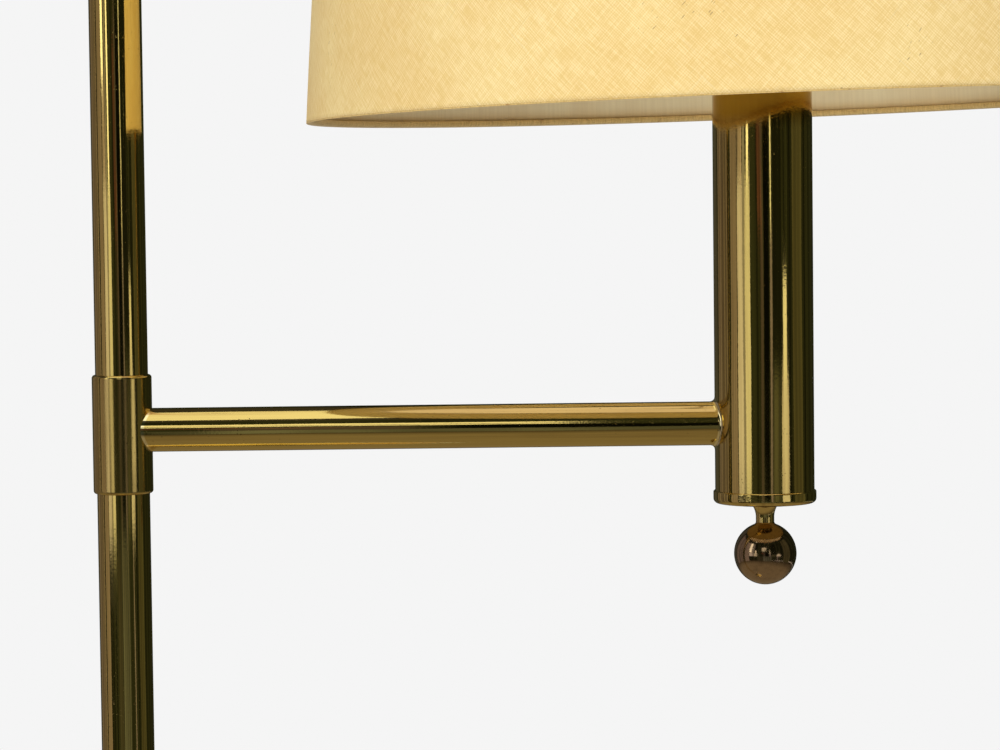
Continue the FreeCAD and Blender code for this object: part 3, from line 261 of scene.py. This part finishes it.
nylon = Finish("nylon", Roughness=0.4)
nylon_cloud = nylon.clouds(0.004, detail=3.0)
nylon.colour(nylon.blend(nylon_cloud, (0.66, 0.62, 0.52), (0.78, 0.75, 0.66)))
nylon.roughness(nylon.between(nylon_cloud, 0.3, 0.7, 0.35, 0.5))
dress(["swivel_bush", "lower_swivel_washer", "upper_swivel_washer"], nylon.material)

# --- Arm --------------------------------------------------------------------------------------
# A length of drawn brass tube, coped at one end to the sleeve and at the other to the housing.
# Both joints are brazed, and the braze is filed and polished to a thin fillet, drawn as a pale
# ring that is partly a painted highlight.


SLEEVE_RADIUS, HOUSING_AT, HOUSING_RADIUS = 0.01438, 0.310, 0.02395
BRIGHT_LINE_FROM, BRIGHT_LINE_TO = 0.0007, 0.0015
# The ring's pale colour is partly the braze and partly a painted highlight along the joint.
PALE_BRAZE_AND_HIGHLIGHT = (0.95, 0.83, 0.50)


def braze_and_highlight(made):
    """A thin pale line where the arm meets the two upright tubes: the braze, filed bright, with a
    painted highlight along it.
    """
    x, y, _ = made.node("SeparateXYZ", Vector=made.place).outputs
    rings = []
    for centre, radius in ((0, SLEEVE_RADIUS), (HOUSING_AT, HOUSING_RADIUS)):
        across = made.sum(made.sum(x, -centre), 2.0, "POWER")
        reach = made.sum(made.sum(across, made.sum(y, 2.0, "POWER")), 0.5, "POWER")
        rings.append(made.between(reach, radius + BRIGHT_LINE_FROM, radius + BRIGHT_LINE_TO, 1.0, 0.0))
    return made.sum(rings[0], rings[1], "MAXIMUM")


dress(["arm_tube"], brass("arm_brass", ALONG_ARM, patch=(braze_and_highlight, PALE_BRAZE_AND_HIGHLIGHT)))

# --- Housing ----------------------------------------------------------------------------------
# An upright length of wider brass tube, which hides the switch and the leads and carries the
# lamp holder.  A turned brass cap is pressed in at each end, flush above and beaded below.


# Above the shade's rim the housing is painted amber: a painted reflection of the shade's glowing
# inside.
AMBER_FROM, AMBER_TO = 1.140, 1.150
PAINTED_REFLECTION_AMBER = (0.45, 0.27, 0.04)


def above_the_rim(made):
    """Inside the shade, above its rim, the tube is tinted amber: a painted reflection of the
    shade's inside, lit through the silk.
    """
    height = made.node("SeparateXYZ", Vector=made.place).outputs["Z"]
    return made.between(height, AMBER_FROM, AMBER_TO)


dress(["housing_tube"], brass("housing_brass", UP, tarnished=0.6,
                              patch=(above_the_rim, PAINTED_REFLECTION_AMBER)))
dress(["housing_bottom_cap", "housing_top_cap"], brass("cap_brass", ROUND, tarnished=0.5))

# --- Switch and ball knob ---------------------------------------------------------------------
# A rotary switch screwed into the bottom cap.  Its shaft carries a turned brass ball on a slim
# neck, browned by years of fingers.

bakelite = Finish("bakelite", Roughness=0.3)
resin = bakelite.clouds(0.006, detail=4.0)
bakelite.colour(bakelite.blend(resin, (0.020, 0.010, 0.007), (0.045, 0.022, 0.014)))
bakelite.roughness(bakelite.between(resin, 0.3, 0.7, 0.25, 0.4))
dress(["rotary_switch", "socket_core"], bakelite.material)


NECK_FROM, NECK_TO = 0.9512, 0.9524
HANDLED_BRASS, HANDLED_BROWN = (0.46, 0.33, 0.21), (0.15, 0.10, 0.068)
NECK_BRASS = (0.76, 0.58, 0.22)


def bare_neck(made):
    """Above the ball the neck is out of the fingers' reach and has stayed yellow."""
    height = made.node("SeparateXYZ", Vector=made.place).outputs["Z"]
    return made.between(height, NECK_FROM, NECK_TO)


dress(["ball_knob"], brass("knob_brass", ROUND, bright=HANDLED_BRASS, brown=HANDLED_BROWN,
                           gloss=0.08, tarnished=0.8, patch=(bare_neck, NECK_BRASS)))

# --- Socket and leads -------------------------------------------------------------------------
# Spun brass cap and shell with a card liner, a bakelite core and copper alloy contacts, fed by
# two insulated leads from the switch.

dress(["socket_cap", "socket_shell"], brass("socket_brass", ROUND, tarnished=0.5))

card = Finish("paper", Roughness=0.8)
pulp = card.clouds(0.001, detail=4.0, rough=0.7)
card.colour(card.blend(pulp, (0.30, 0.22, 0.13), (0.42, 0.33, 0.21)))
card.normal(card.relief(pulp, 0.0001))
dress(["socket_liner"], card.material)

contact_metal = Finish("copper_alloy", Metallic=1.0)
contact_bloom = contact_metal.clouds(0.003, detail=4.0)
contact_metal.colour(contact_metal.blend(contact_bloom, (0.72, 0.52, 0.26), (0.42, 0.27, 0.13)))
contact_metal.roughness(contact_metal.between(contact_bloom, 0.3, 0.7, 0.2, 0.4))
dress(["socket_screw_shell", "socket_contact"], contact_metal.material)

sleeving = Finish("lead_insulation", Roughness=0.5)
sleeving_scuff = sleeving.clouds(0.002, (1, 1, 0.2), detail=3.0)
sleeving.colour(sleeving.blend(sleeving_scuff, (0.02, 0.02, 0.02), (0.05, 0.048, 0.045)))
dress(["switched_lead", "neutral_lead"], sleeving.material)

# --- Bulb -------------------------------------------------------------------------------------
# A pear-shaped bulb of thin glass, frosted white, on a screw base of pressed aluminium.  It
# screws into the socket's shell.

base_metal = Finish("bulb_aluminium", Metallic=1.0)
brushed = base_metal.clouds(0.0015, (1, 1, 3), detail=3.0)
base_metal.colour(base_metal.blend(brushed, (0.70, 0.70, 0.69), (0.82, 0.82, 0.81)))
base_metal.roughness(base_metal.between(brushed, 0.3, 0.7, 0.25, 0.4))
dress(["bulb_base"], base_metal.material)

frosted = Finish("bulb_glass", Roughness=0.22, IOR=1.5, Coat_Weight=0.6, Coat_Roughness=0.05)
frost = frosted.clouds(0.003, detail=5.0, rough=0.7)
frosted.colour(frosted.blend(frosted.between(frost, 0.3, 0.7), (0.80, 0.79, 0.76),
                             (0.87, 0.86, 0.84)))
frosted.roughness(frosted.between(frost, 0.3, 0.7, 0.28, 0.4))
dress(["bulb_glass"], frosted.material)

# --- Harp -------------------------------------------------------------------------------------
# A steel saddle under the socket holds a bow of brass-plated wire, locked by two sliding
# ferrules.  A stud on the bow's crown carries the shade, under a small turned finial.

dress(["harp_saddle", "harp", "left_harp_ferrule", "right_harp_ferrule", "harp_stud",
       "shade_finial"], brass("harp_brass", ROUND, gloss=0.14, tarnished=0.6))

# --- Shade ------------------------------------------------------------------------------------
# Silk, cut on the bias, over a stiff lining.  Its lower edge is turned in round a wire ring;
# a tape covers the upper edge, and three wire arms from the top ring meet at the hub.
# The whole shade sits a little crooked on its harp, as in the photograph.

SHADE_PIVOT, SHADE_LEAN = Vector((0.310, 0, 1.209)), math.radians(1.44)
RIM, SHADE_HEIGHT, SHADE_TAPER = -0.0567, 0.280, math.tan(math.radians(4.9))
SHADE_RADIUS, SILK, LINING = 0.2202, 0.0006, 0.0006
lean = Matrix.Translation(SHADE_PIVOT) @ Matrix.Rotation(-SHADE_LEAN, 4, "Y")


def cloth_map(piece, radius):
    """Unroll the cloth: metres round the rim and metres up the slope."""
    shape = piece.data
    unrolled = shape.uv_layers.new(name="cloth")
    for face in shape.polygons:
        angles = [math.atan2(shape.vertices[v].co.y, shape.vertices[v].co.x)
                  for v in face.vertices]
        wraps = max(angles) - min(angles) > math.pi
        for loop, vertex, angle in zip(face.loop_indices, face.vertices, angles):
            if wraps and angle < 0:
                angle += math.tau
            unrolled.data[loop].uv = (angle * radius, shape.vertices[vertex].co.z)


def skin(name, foot_radius, thickness, rows, steps, wobble):
    """A tapered skin of cloth, its outer face in fine rows, its inner face in a few."""
    profile = []
    for row in range(rows + 1):
        height = SHADE_HEIGHT * row / rows
        profile.append((foot_radius - height * SHADE_TAPER, RIM + height))
    for row in range(5):
        height = SHADE_HEIGHT * (1 - row / 4)
        profile.append((foot_radius - thickness - height * SHADE_TAPER, RIM + height))
    piece = turned(name, profile, steps, wobble, closed=True)
    cloth_map(piece, foot_radius)
    piece.data.transform(lean)
    return piece


SILK_SWELL, SILK_SLUB = 0.00016, 0.00006
SEAM, SEAM_WIDTH, SEAM_AT = 0.00035, 0.005, math.radians(100)


def silk_lie(number, angle, point):
    """The silk lies a little uneven on its lining, with a lapped seam at the back."""
    around = Vector((math.cos(angle), math.sin(angle), 0)) * SHADE_RADIUS
    swell = noise.noise((around + Vector((0, 0, point.z))) * 22) * SILK_SWELL
    bias = Vector((angle * 60 + point.z * 280, angle * 60 - point.z * 280, 3))
    slub = noise.noise(bias) * SILK_SLUB
    seam = SEAM * max(0.0, 1 - abs(angle - SEAM_AT) * SHADE_RADIUS / SEAM_WIDTH) ** 0.3
    point.xy *= 1 + (swell + slub + seam) / point.xy.length
    return point


silk_skin = skin("silk_skin", SHADE_RADIUS, SILK, 100, 720, silk_lie)
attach(silk_skin, "swing_arm")
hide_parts("shade_fabric")

silk = Finish("silk", Roughness=0.55, Specular_IOR_Level=0.35, Sheen_Weight=0.12,
              Sheen_Roughness=0.35)
silk.feed(silk.shader.inputs["Sheen Tint"], (1.0, 0.86, 0.72))
cloth = silk.node("UVMap", {"uv_map": "cloth"}).outputs["UV"]


def yarns(turn, pitch, slub_width):
    """Threads that lie one way on the bias: even yarns, each a little its own shade, and thick
    slubs here and there."""
    bias = silk.node("Mapping", Vector=cloth, Rotation=(0, 0, turn)).outputs["Vector"]
    even = silk.node("TexWave", {"bands_direction": "X"}, Vector=bias, Scale=0.314 / pitch,
                     Distortion=1.6, Detail=2.0, Detail_Scale=0.7).outputs["Fac"]
    shade = silk.clouds(pitch * 0.7, (1, 0.07, 1), detail=1.0, place=bias)
    slub = silk.clouds(slub_width, (1, 0.045, 1), detail=1.0, place=bias)
    thread = silk.sum(silk.sum(even, 0.4, "MULTIPLY"), silk.between(shade, 0.3, 0.7, 0.0, 0.45))
    return thread, silk.between(slub, 0.67, 0.82)


WARP_LIE, WARP_PITCH, WARP_SLUB = math.radians(43), 0.00105, 0.0012
WEFT_LIE, WEFT_PITCH, WEFT_SLUB = math.radians(-46), 0.00095, 0.0015
warp, warp_slub = yarns(WARP_LIE, WARP_PITCH, WARP_SLUB)
weft, weft_slub = yarns(WEFT_LIE, WEFT_PITCH, WEFT_SLUB)
weave = silk.sum(silk.sum(warp, 0.42, "MULTIPLY"), silk.sum(weft, 0.58, "MULTIPLY"))
slubs = silk.sum(warp_slub, weft_slub, "MAXIMUM")
faded = silk.clouds(0.07, detail=4.0, rough=0.6, place=cloth)
dye = silk.blend(silk.between(faded, 0.35, 0.65), (0.89, 0.64, 0.255), (0.94, 0.72, 0.32))
dye_between = silk.blend(1.0, dye, (0.86, 0.82, 0.72), "MULTIPLY")
dye_on_top = silk.blend(0.25, dye, (0.98, 0.88, 0.60))
dye = silk.blend(silk.between(weave, 0.2, 0.8), dye_between, dye_on_top)
dye = silk.blend(silk.sum(slubs, 0.22, "MULTIPLY"), dye, (0.97, 0.85, 0.52))
along_thread = silk.node("Mapping", Vector=cloth, Rotation=(0, 0, WARP_LIE))
fly = silk.clouds(0.0009, (1, 0.22, 1), detail=0.0, place=along_thread.outputs["Vector"])
fly_place = silk.clouds(0.035, detail=1.0, place=cloth)
flecks = silk.sum(silk.between(fly, 0.74, 0.80, 0.0, 0.8), silk.between(fly_place, 0.60, 0.68),
                  "MULTIPLY")
silk.colour(silk.blend(flecks, dye, (0.36, 0.20, 0.07)))
silk.roughness(silk.between(weave, 0.2, 0.8, 0.62, 0.45))
silk.normal(silk.relief(slubs, 0.00010, silk.relief(weave, 0.00008)))
silk_skin.data.materials.append(silk.material)


def lining_lie(number, angle, point):
    """The laminated lining has slight flats between its gluings."""
    around = Vector((math.cos(angle), math.sin(angle), 0)) * SHADE_RADIUS
    swell = noise.noise((around + Vector((0, 0, point.z))) * 14) * 0.00012
    point.xy *= 1 + min(swell, 0) / point.xy.length
    return point


lining_skin = skin("lining_skin", SHADE_RADIUS - SILK - 0.0001, LINING, 40, 360, lining_lie)
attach(lining_skin, "swing_arm")
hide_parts("shade_lining")
lining = Finish("lining", Roughness=0.75)
sheet_map = lining.node("UVMap", {"uv_map": "cloth"}).outputs["UV"]
ribs = lining.clouds(0.0014, (1, 0.02, 1), detail=2.0, place=sheet_map)
mottle = lining.clouds(0.03, detail=4.0, place=sheet_map)
paper_tone = lining.blend(lining.between(mottle, 0.35, 0.7), (0.94, 0.77, 0.46),
                          (0.98, 0.83, 0.51))
up_slope = lining.node("SeparateXYZ", Vector=sheet_map).outputs["Y"]
paper_tone = lining.blend(lining.between(up_slope, RIM + 0.001, RIM + 0.009, 0.65, 0.0),
                          paper_tone, (0.83, 0.58, 0.24))
lining.colour(lining.blend(lining.between(ribs, 0.3, 0.7), lining.blend(
    1.0, paper_tone, (0.95, 0.94, 0.92), "MULTIPLY"), paper_tone))
lining.normal(lining.relief(ribs, 0.00008))
lining_skin.data.materials.append(lining.material)

# the lower edge: silk rolled in round the ring, a wrinkle here and there
WIRE, TAPE, FOLD, PLAY = 0.0011, 0.0004, 0.0003, 0.00003
inner_foot = SHADE_RADIUS - SILK - LINING - 0.0001
wire_radius = inner_foot - WIRE * (SHADE_TAPER + 1.004)
roll = WIRE + TAPE
hem_profile = [(SHADE_RADIUS - 0.00002, RIM - PLAY)]
hem_profile += [(SHADE_RADIUS - FOLD + FOLD * math.cos(math.radians(a)),
                 RIM - 0.0001 - FOLD + FOLD * math.sin(math.radians(a)))
                for a in (0, -30, -60, -90)]
hem_profile += [(wire_radius + roll * math.cos(math.radians(a)),
                 RIM + WIRE + roll * math.sin(math.radians(a))) for a in range(-90, -275, -15)]
hem_profile += [(inner_foot - 0.0004, RIM + WIRE + roll), (inner_foot - 0.0004, RIM + WIRE + WIRE),
                (wire_radius, RIM + WIRE + WIRE)]
hem_profile += [(wire_radius + (WIRE + PLAY) * math.cos(math.radians(a)),
                 RIM + WIRE + (WIRE + PLAY) * math.sin(math.radians(a)))
                for a in range(-285, -90, 30)]
hem_profile += [(wire_radius, RIM - PLAY)]


def hem_lie(number, angle, point):
    """The rolled edge is uneven where the fingers pressed it."""
    ripple = noise.noise(Vector((math.cos(angle), math.sin(angle), number * 0.02)) * 38) * 0.00016
    if point.xy.length < inner_foot:
        point.xy *= 1 + ripple / point.xy.length
    return point


silk_hem = turned("silk_hem", hem_profile, 720, hem_lie, closed=True)
cloth_map(silk_hem, SHADE_RADIUS)
silk_hem.data.transform(lean)
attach(silk_hem, "swing_arm")
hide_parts("shade_bottom_hem")

hem = Finish("hem", Roughness=0.6, Sheen_Weight=0.1)
hem_cloth = hem.node("UVMap", {"uv_map": "cloth"}).outputs["UV"]
hem_weave = hem.clouds(0.0009, (1, 0.2, 1), detail=2.0, place=hem_cloth, turned=0.75)
rust = hem.clouds(0.004, detail=4.0, rough=0.7, place=hem_cloth)
# The hem's silk is coloured much darker than the shade's silk: painted shade on the turned-in
# edge. The rust spots are real stains.
hem_dye_and_shade = hem.blend(hem.between(hem_weave, 0.3, 0.7), (0.56, 0.37, 0.12), (0.72, 0.50, 0.18))
hem.colour(hem.blend(hem.between(rust, 0.56, 0.72, 0.0, 0.8), hem_dye_and_shade, (0.34, 0.16, 0.04)))
hem.normal(hem.relief(hem_weave, 0.00012))
silk_hem.data.materials.append(hem.material)

# the upper edge: a tape glued inside and turned over the top
top_radius = SHADE_RADIUS - SHADE_HEIGHT * SHADE_TAPER
TOP, TAPE_DROP = RIM + SHADE_HEIGHT, 0.003
inner_top = top_radius - SILK - LINING - 0.0001
top_tape = turned("top_tape", [
    (inner_top + TAPE_DROP * SHADE_TAPER - TAPE, TOP - TAPE_DROP),
    (inner_top + TAPE_DROP * SHADE_TAPER, TOP - TAPE_DROP),
    (inner_top, TOP + PLAY), (top_radius, TOP + PLAY), (top_radius, TOP + TAPE * 0.6),
    (top_radius - 0.0002, TOP + TAPE), (inner_top - 0.0001, TOP + TAPE),
    (inner_top - TAPE, TOP + TAPE * 0.5),
], 540, None, closed=True)
cloth_map(top_tape, SHADE_RADIUS)
top_tape.data.transform(lean)
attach(top_tape, "swing_arm")
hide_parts("shade_top_hem")
# The tape takes the hem's finish, its painted shade included.
top_tape.data.materials.append(hem.material)

wire = Finish("frame_wire", Metallic=0.9)
wire_bloom = wire.clouds(0.006, detail=5.0, rough=0.7)
wire.colour(wire.blend(wire.between(wire_bloom, 0.45, 0.7), (0.55, 0.40, 0.19),
                       (0.26, 0.14, 0.06)))
wire.roughness(wire.between(wire_bloom, 0.3, 0.7, 0.25, 0.5))
dress(["shade_bottom_ring", "shade_spider"], wire.material)

# --- Studio -----------------------------------------------------------------------------------
# A pale floor and a pale backdrop, soft lamps, and, for the polished metal to mirror, softboxes
# in front of dark flags.  The flags and softboxes show in reflections alone.

PALE, ROOM_LIGHT = (0.913, 0.913, 0.913), 0.50


def seen_directly(tree):
    """1 for rays from the camera, a mirror or glass, 0 for light that bounces off matt things."""
    path = tree.nodes.new("ShaderNodeLightPath")
    total = None
    for ray in ("Is Camera Ray", "Is Glossy Ray", "Is Transmission Ray"):
        if total is None:
            total = path.outputs[ray]
            continue
        larger = tree.nodes.new("ShaderNodeMath")
        larger.operation = "MAXIMUM"
        tree.links.new(total, larger.inputs[0])
        tree.links.new(path.outputs[ray], larger.inputs[1])
        total = larger.outputs["Value"]
    return total


world = bpy.data.worlds.new("studio")
world.use_nodes = True
bpy.context.scene.world = world
air = world.node_tree
soft = air.nodes["Background"]
soft.inputs["Color"].default_value = (1, 1, 1, 1)
soft.inputs["Strength"].default_value = ROOM_LIGHT
backdrop = air.nodes.new("ShaderNodeBackground")
backdrop.inputs["Color"].default_value = (*PALE, 1)
choice = air.nodes.new("ShaderNodeMixShader")
air.links.new(seen_directly(air), choice.inputs["Fac"])
air.links.new(soft.outputs["Background"], choice.inputs[1])
air.links.new(backdrop.outputs["Background"], choice.inputs[2])
air.links.new(choice.outputs["Shader"], air.nodes["World Output"].inputs["Surface"])

# floor: a wide pale disc that keeps the lamp's shadow near it and fades into the backdrop
FADES_FROM, FADES_TO = 0.5, 2.2
floor = turned("floor", [(0.001, 0), (0.3, 0), (0.8, 0), (1.6, 0), (3.0, 0)], 96)
floor.location.z = -0.0002
paint = bpy.data.materials.new("floor_paint")
paint.use_nodes = True
tree = paint.node_tree
matt = tree.nodes["Principled BSDF"]
matt.inputs["Base Color"].default_value = (0.80, 0.80, 0.80, 1)
matt.inputs["Roughness"].default_value = 0.8
glow = tree.nodes.new("ShaderNodeEmission")
glow.inputs["Color"].default_value = (*PALE, 1)
spot = tree.nodes.new("ShaderNodeTexCoord")
distance = tree.nodes.new("ShaderNodeVectorMath")
distance.operation = "LENGTH"
fade = tree.nodes.new("ShaderNodeMapRange")
fade.interpolation_type = "SMOOTHSTEP"
fade.inputs["From Min"].default_value = FADES_FROM
fade.inputs["From Max"].default_value = FADES_TO
fade_seen = tree.nodes.new("ShaderNodeMath")
fade_seen.operation = "MULTIPLY"
mix = tree.nodes.new("ShaderNodeMixShader")
tree.links.new(spot.outputs["Object"], distance.inputs[0])
tree.links.new(distance.outputs["Value"], fade.inputs["Value"])
tree.links.new(fade.outputs["Result"], fade_seen.inputs[0])
tree.links.new(seen_directly(tree), fade_seen.inputs[1])
tree.links.new(fade_seen.outputs["Value"], mix.inputs["Fac"])
tree.links.new(matt.outputs["BSDF"], mix.inputs[1])
tree.links.new(glow.outputs["Emission"], mix.inputs[2])
tree.links.new(mix.outputs["Shader"], tree.nodes["Material Output"].inputs["Surface"])
floor.data.materials.append(paint)

def reflected_only(card, colour, strength, streaks=0.0, fades=None):
    """Make a card that shows in polished metal and nowhere else.  streaks is how far its
    brightness wanders in upright folds; fades gives the distances from its middle between
    which it goes dark."""
    face = bpy.data.materials.new(card.name)
    face.use_nodes = True
    tree = face.node_tree
    tree.nodes.remove(tree.nodes["Principled BSDF"])
    glow = tree.nodes.new("ShaderNodeEmission")
    glow.inputs["Color"].default_value = (*colour, 1)
    glow.inputs["Strength"].default_value = strength
    if streaks or fades:
        spot = tree.nodes.new("ShaderNodeTexCoord")
        level = tree.nodes.new("ShaderNodeMapRange")
        if fades:
            pattern = tree.nodes.new("ShaderNodeVectorMath")
            pattern.operation = "LENGTH"
            tree.links.new(spot.outputs["Object"], pattern.inputs[0])
            tree.links.new(pattern.outputs["Value"], level.inputs["Value"])
            limits = (*fades, strength, strength * 0.12)
        else:
            folds = tree.nodes.new("ShaderNodeMapping")
            folds.inputs["Scale"].default_value = (1, 1, 0.05)
            pattern = tree.nodes.new("ShaderNodeTexNoise")
            pattern.inputs["Scale"].default_value = 5
            pattern.inputs["Detail"].default_value = 3
            tree.links.new(spot.outputs["Object"], folds.inputs["Vector"])
            tree.links.new(folds.outputs["Vector"], pattern.inputs["Vector"])
            tree.links.new(pattern.outputs["Fac"], level.inputs["Value"])
            limits = (0.35, 0.65, strength * (1 - streaks), strength * (1 + streaks))
        for socket, value in zip(("From Min", "From Max", "To Min", "To Max"), limits):
            level.inputs[socket].default_value = value
        tree.links.new(level.outputs["Result"], glow.inputs["Strength"])
    tree.links.new(glow.outputs["Emission"], tree.nodes["Material Output"].inputs["Surface"])
    card.data.materials.append(face)
    card.visible_camera = card.visible_diffuse = card.visible_shadow = False
    card.visible_transmission = card.visible_volume_scatter = False


ROOM = Vector((0.155, 0, 0))


def hang(name, corners, faces):
    """A flat or curved sheet of card, hung in the studio."""
    shape = bpy.data.meshes.new(name)
    shape.from_pydata(corners, [], faces)
    card = bpy.data.objects.new(name, shape)
    bpy.context.scene.collection.objects.link(card)
    return card


def wall_card(name, left, right, bottom, top, colour, strength, streaks=0.0, distance=2.3):
    """A curved upright card round the lamp.  Angles in degrees from the camera's side, to the
    right positive; heights in metres."""
    steps = max(2, round(abs(right - left) / 3))
    corners, faces = [], []
    for step in range(steps + 1):
        angle = math.radians(left + (right - left) * step / steps)
        across = Vector((math.sin(angle), -math.cos(angle), 0)) * distance + ROOM
        corners += [across + Vector((0, 0, bottom)), across + Vector((0, 0, top))]
    for step in range(steps):
        faces.append((2 * step, 2 * step + 2, 2 * step + 3, 2 * step + 1))
    reflected_only(hang(name, corners, faces), colour, strength, streaks)


def ceiling_card(name, x_from, x_to, y_from, y_to, height, colour, strength):
    """A level card over the lamp."""
    corners = [(x_from, y_from, height), (x_to, y_from, height), (x_to, y_to, height),
               (x_from, y_to, height)]
    reflected_only(hang(name, corners, [(0, 1, 2, 3)]), colour, strength)


# Each card by its left and right edge in degrees, its foot and top in metres, its colour and its
# strength.  The far ring and its ceiling come first, then the cards from left to right, those in
# front, those overhead and the floor's.
DAYLIGHT, LAMPLIGHT, DUSK = (0.93, 0.90, 0.74), (1.0, 0.82, 0.74), (0.9, 1.0, 0.5)
SILL = 0.72
wall_card("dark_flag", -180, 180, 0.0, 3.4, DUSK, 0.026, streaks=0.7, distance=2.7)
ceiling_card("dark_ceiling", -2.6, 2.9, -2.7, 2.7, 3.4, (1.0, 0.9, 0.7), 0.05)
wall_card("far_left", -166, -142, 0.0, 2.6, DAYLIGHT, 0.08)
wall_card("curtain_left", -137, -96, 0.0, 2.6, LAMPLIGHT, 0.17, streaks=0.5)
wall_card("frame_left", -94, -91.5, 0.0, 2.6, LAMPLIGHT, 0.42)
wall_card("wall_left", -85, -66, 0.0, 2.6, LAMPLIGHT, 0.32, streaks=0.25)
wall_card("window_left", -64, -50, SILL, 1.14, (1.0, 0.95, 0.95), 0.75)
wall_card("window_left_top", -64, -54, 1.25, 2.6, (1.0, 1.0, 0.9), 2.0)
wall_card("window_left_blind", -64, -52, 1.14, 1.25, LAMPLIGHT, 0.45, streaks=0.6)
wall_card("window_bar", -50, -44, SILL, 2.6, (1.0, 0.95, 0.9), 0.32)
wall_card("window_middle", -44, -32, SILL, 1.14, DAYLIGHT, 0.9)
wall_card("window_middle_top", -40, -35, 1.14, 1.5, DAYLIGHT, 1.8)
wall_card("below_left", -30, -12, 0.0, SILL, (1.0, 0.95, 0.6), 0.07, streaks=0.5)
wall_card("door", -8, -2, SILL, 1.35, LAMPLIGHT, 0.09)
wall_card("black_flag", -1, 11, SILL, 1.35, DUSK, 0.004)
wall_card("below_front", -10, 22, 0.0, SILL, (0.95, 1.0, 0.8), 0.12, streaks=0.6)
wall_card("slit", 14, 18.5, SILL, 1.08, (0.95, 0.8, 0.9), 0.26)
wall_card("slit_top", 14.5, 17, 1.08, 1.6, DAYLIGHT, 1.2)
wall_card("dark_right", 20, 40, 0.92, 2.6, DUSK, 0.014)
wall_card("olive_right", 20, 37, SILL, 0.90, (1.0, 1.0, 0.6), 0.11, streaks=0.4)
wall_card("strip_right_top", 31, 33, 1.20, 1.26, DAYLIGHT, 1.0)
wall_card("window_right", 43, 52, 0.90, 1.02, DAYLIGHT, 1.1)
wall_card("window_right_low", 40, 56, SILL, 0.90, (1.0, 0.95, 0.85), 0.8)
wall_card("leg_right", 42, 46, 0.0, SILL, (1.0, 0.85, 0.9), 0.26)
wall_card("wall_right", 68, 96, 0.0, 2.6, (1.0, 0.95, 0.5), 0.085, streaks=0.25)
wall_card("front_low", -14, -4, 1.08, 1.15, (1.0, 0.45, 0.3), 0.16, streaks=0.6)
wall_card("front_rail", -16, -6, 1.15, 1.30, (1.0, 0.5, 0.35), 0.14, streaks=0.6)
wall_card("front_high", -14, 3, 1.48, 1.64, DAYLIGHT, 1.2)
wall_card("front_top", -14, 3, 1.72, 2.05, DAYLIGHT, 1.3)
ceiling_card("top_softbox_left", -1.3, 0.05, -1.5, 0.5, 2.9, DAYLIGHT, 1.3)
ceiling_card("top_softbox_right", 0.05, 1.0, -1.2, 0.6, 2.9, (1.0, 0.84, 0.8), 0.9)
brown_floor = turned("brown_floor", [(0.15, 0.004), (2.7, 0.004)], 72)
reflected_only(brown_floor, (1.0, 0.8, 0.5), 0.25, fades=(1.2, 2.5))


def softbox(name, place, aim, width, height, power):
    """A large soft lamp that lights the lamp without showing in the metal."""
    light = bpy.data.lights.new(name, "AREA")
    light.shape, light.size, light.size_y, light.energy = "RECTANGLE", width, height, power
    holder = bpy.data.objects.new(name, light)
    holder.location = place
    holder.rotation_euler = (Vector(aim) - Vector(place)).to_track_quat("-Z", "Y").to_euler()
    holder.visible_glossy = False
    bpy.context.scene.collection.objects.link(holder)


softbox("key_lamp", (1.6, -2.5, 1.9), (0.25, 0, 1.1), 1.6, 1.6, 33)
softbox("fill_lamp", (-2.1, -2.1, 0.9), (0.2, 0, 1.1), 1.5, 1.5, 44)

# camera: a little above the arm, turned down and not quite upright, as the photograph is
CAMERA_PLACE, CAMERA_DOWN, CAMERA_ROLL = (0.1826, -1.5421, 1.1059), math.radians(3.02), -0.0117
camera = bpy.data.objects.new("camera", bpy.data.cameras.new("camera"))
camera.data.sensor_width, camera.data.lens = 36, 115.2
camera.data.clip_end = 50
camera.matrix_world = (Matrix.Translation(CAMERA_PLACE)
                       @ Matrix.Rotation(math.radians(90) - CAMERA_DOWN, 4, "X")
                       @ Matrix.Rotation(CAMERA_ROLL, 4, "Z"))
bpy.context.scene.collection.objects.link(camera)
bpy.context.scene.camera = camera
bpy.context.scene.view_settings.view_transform = "Standard"
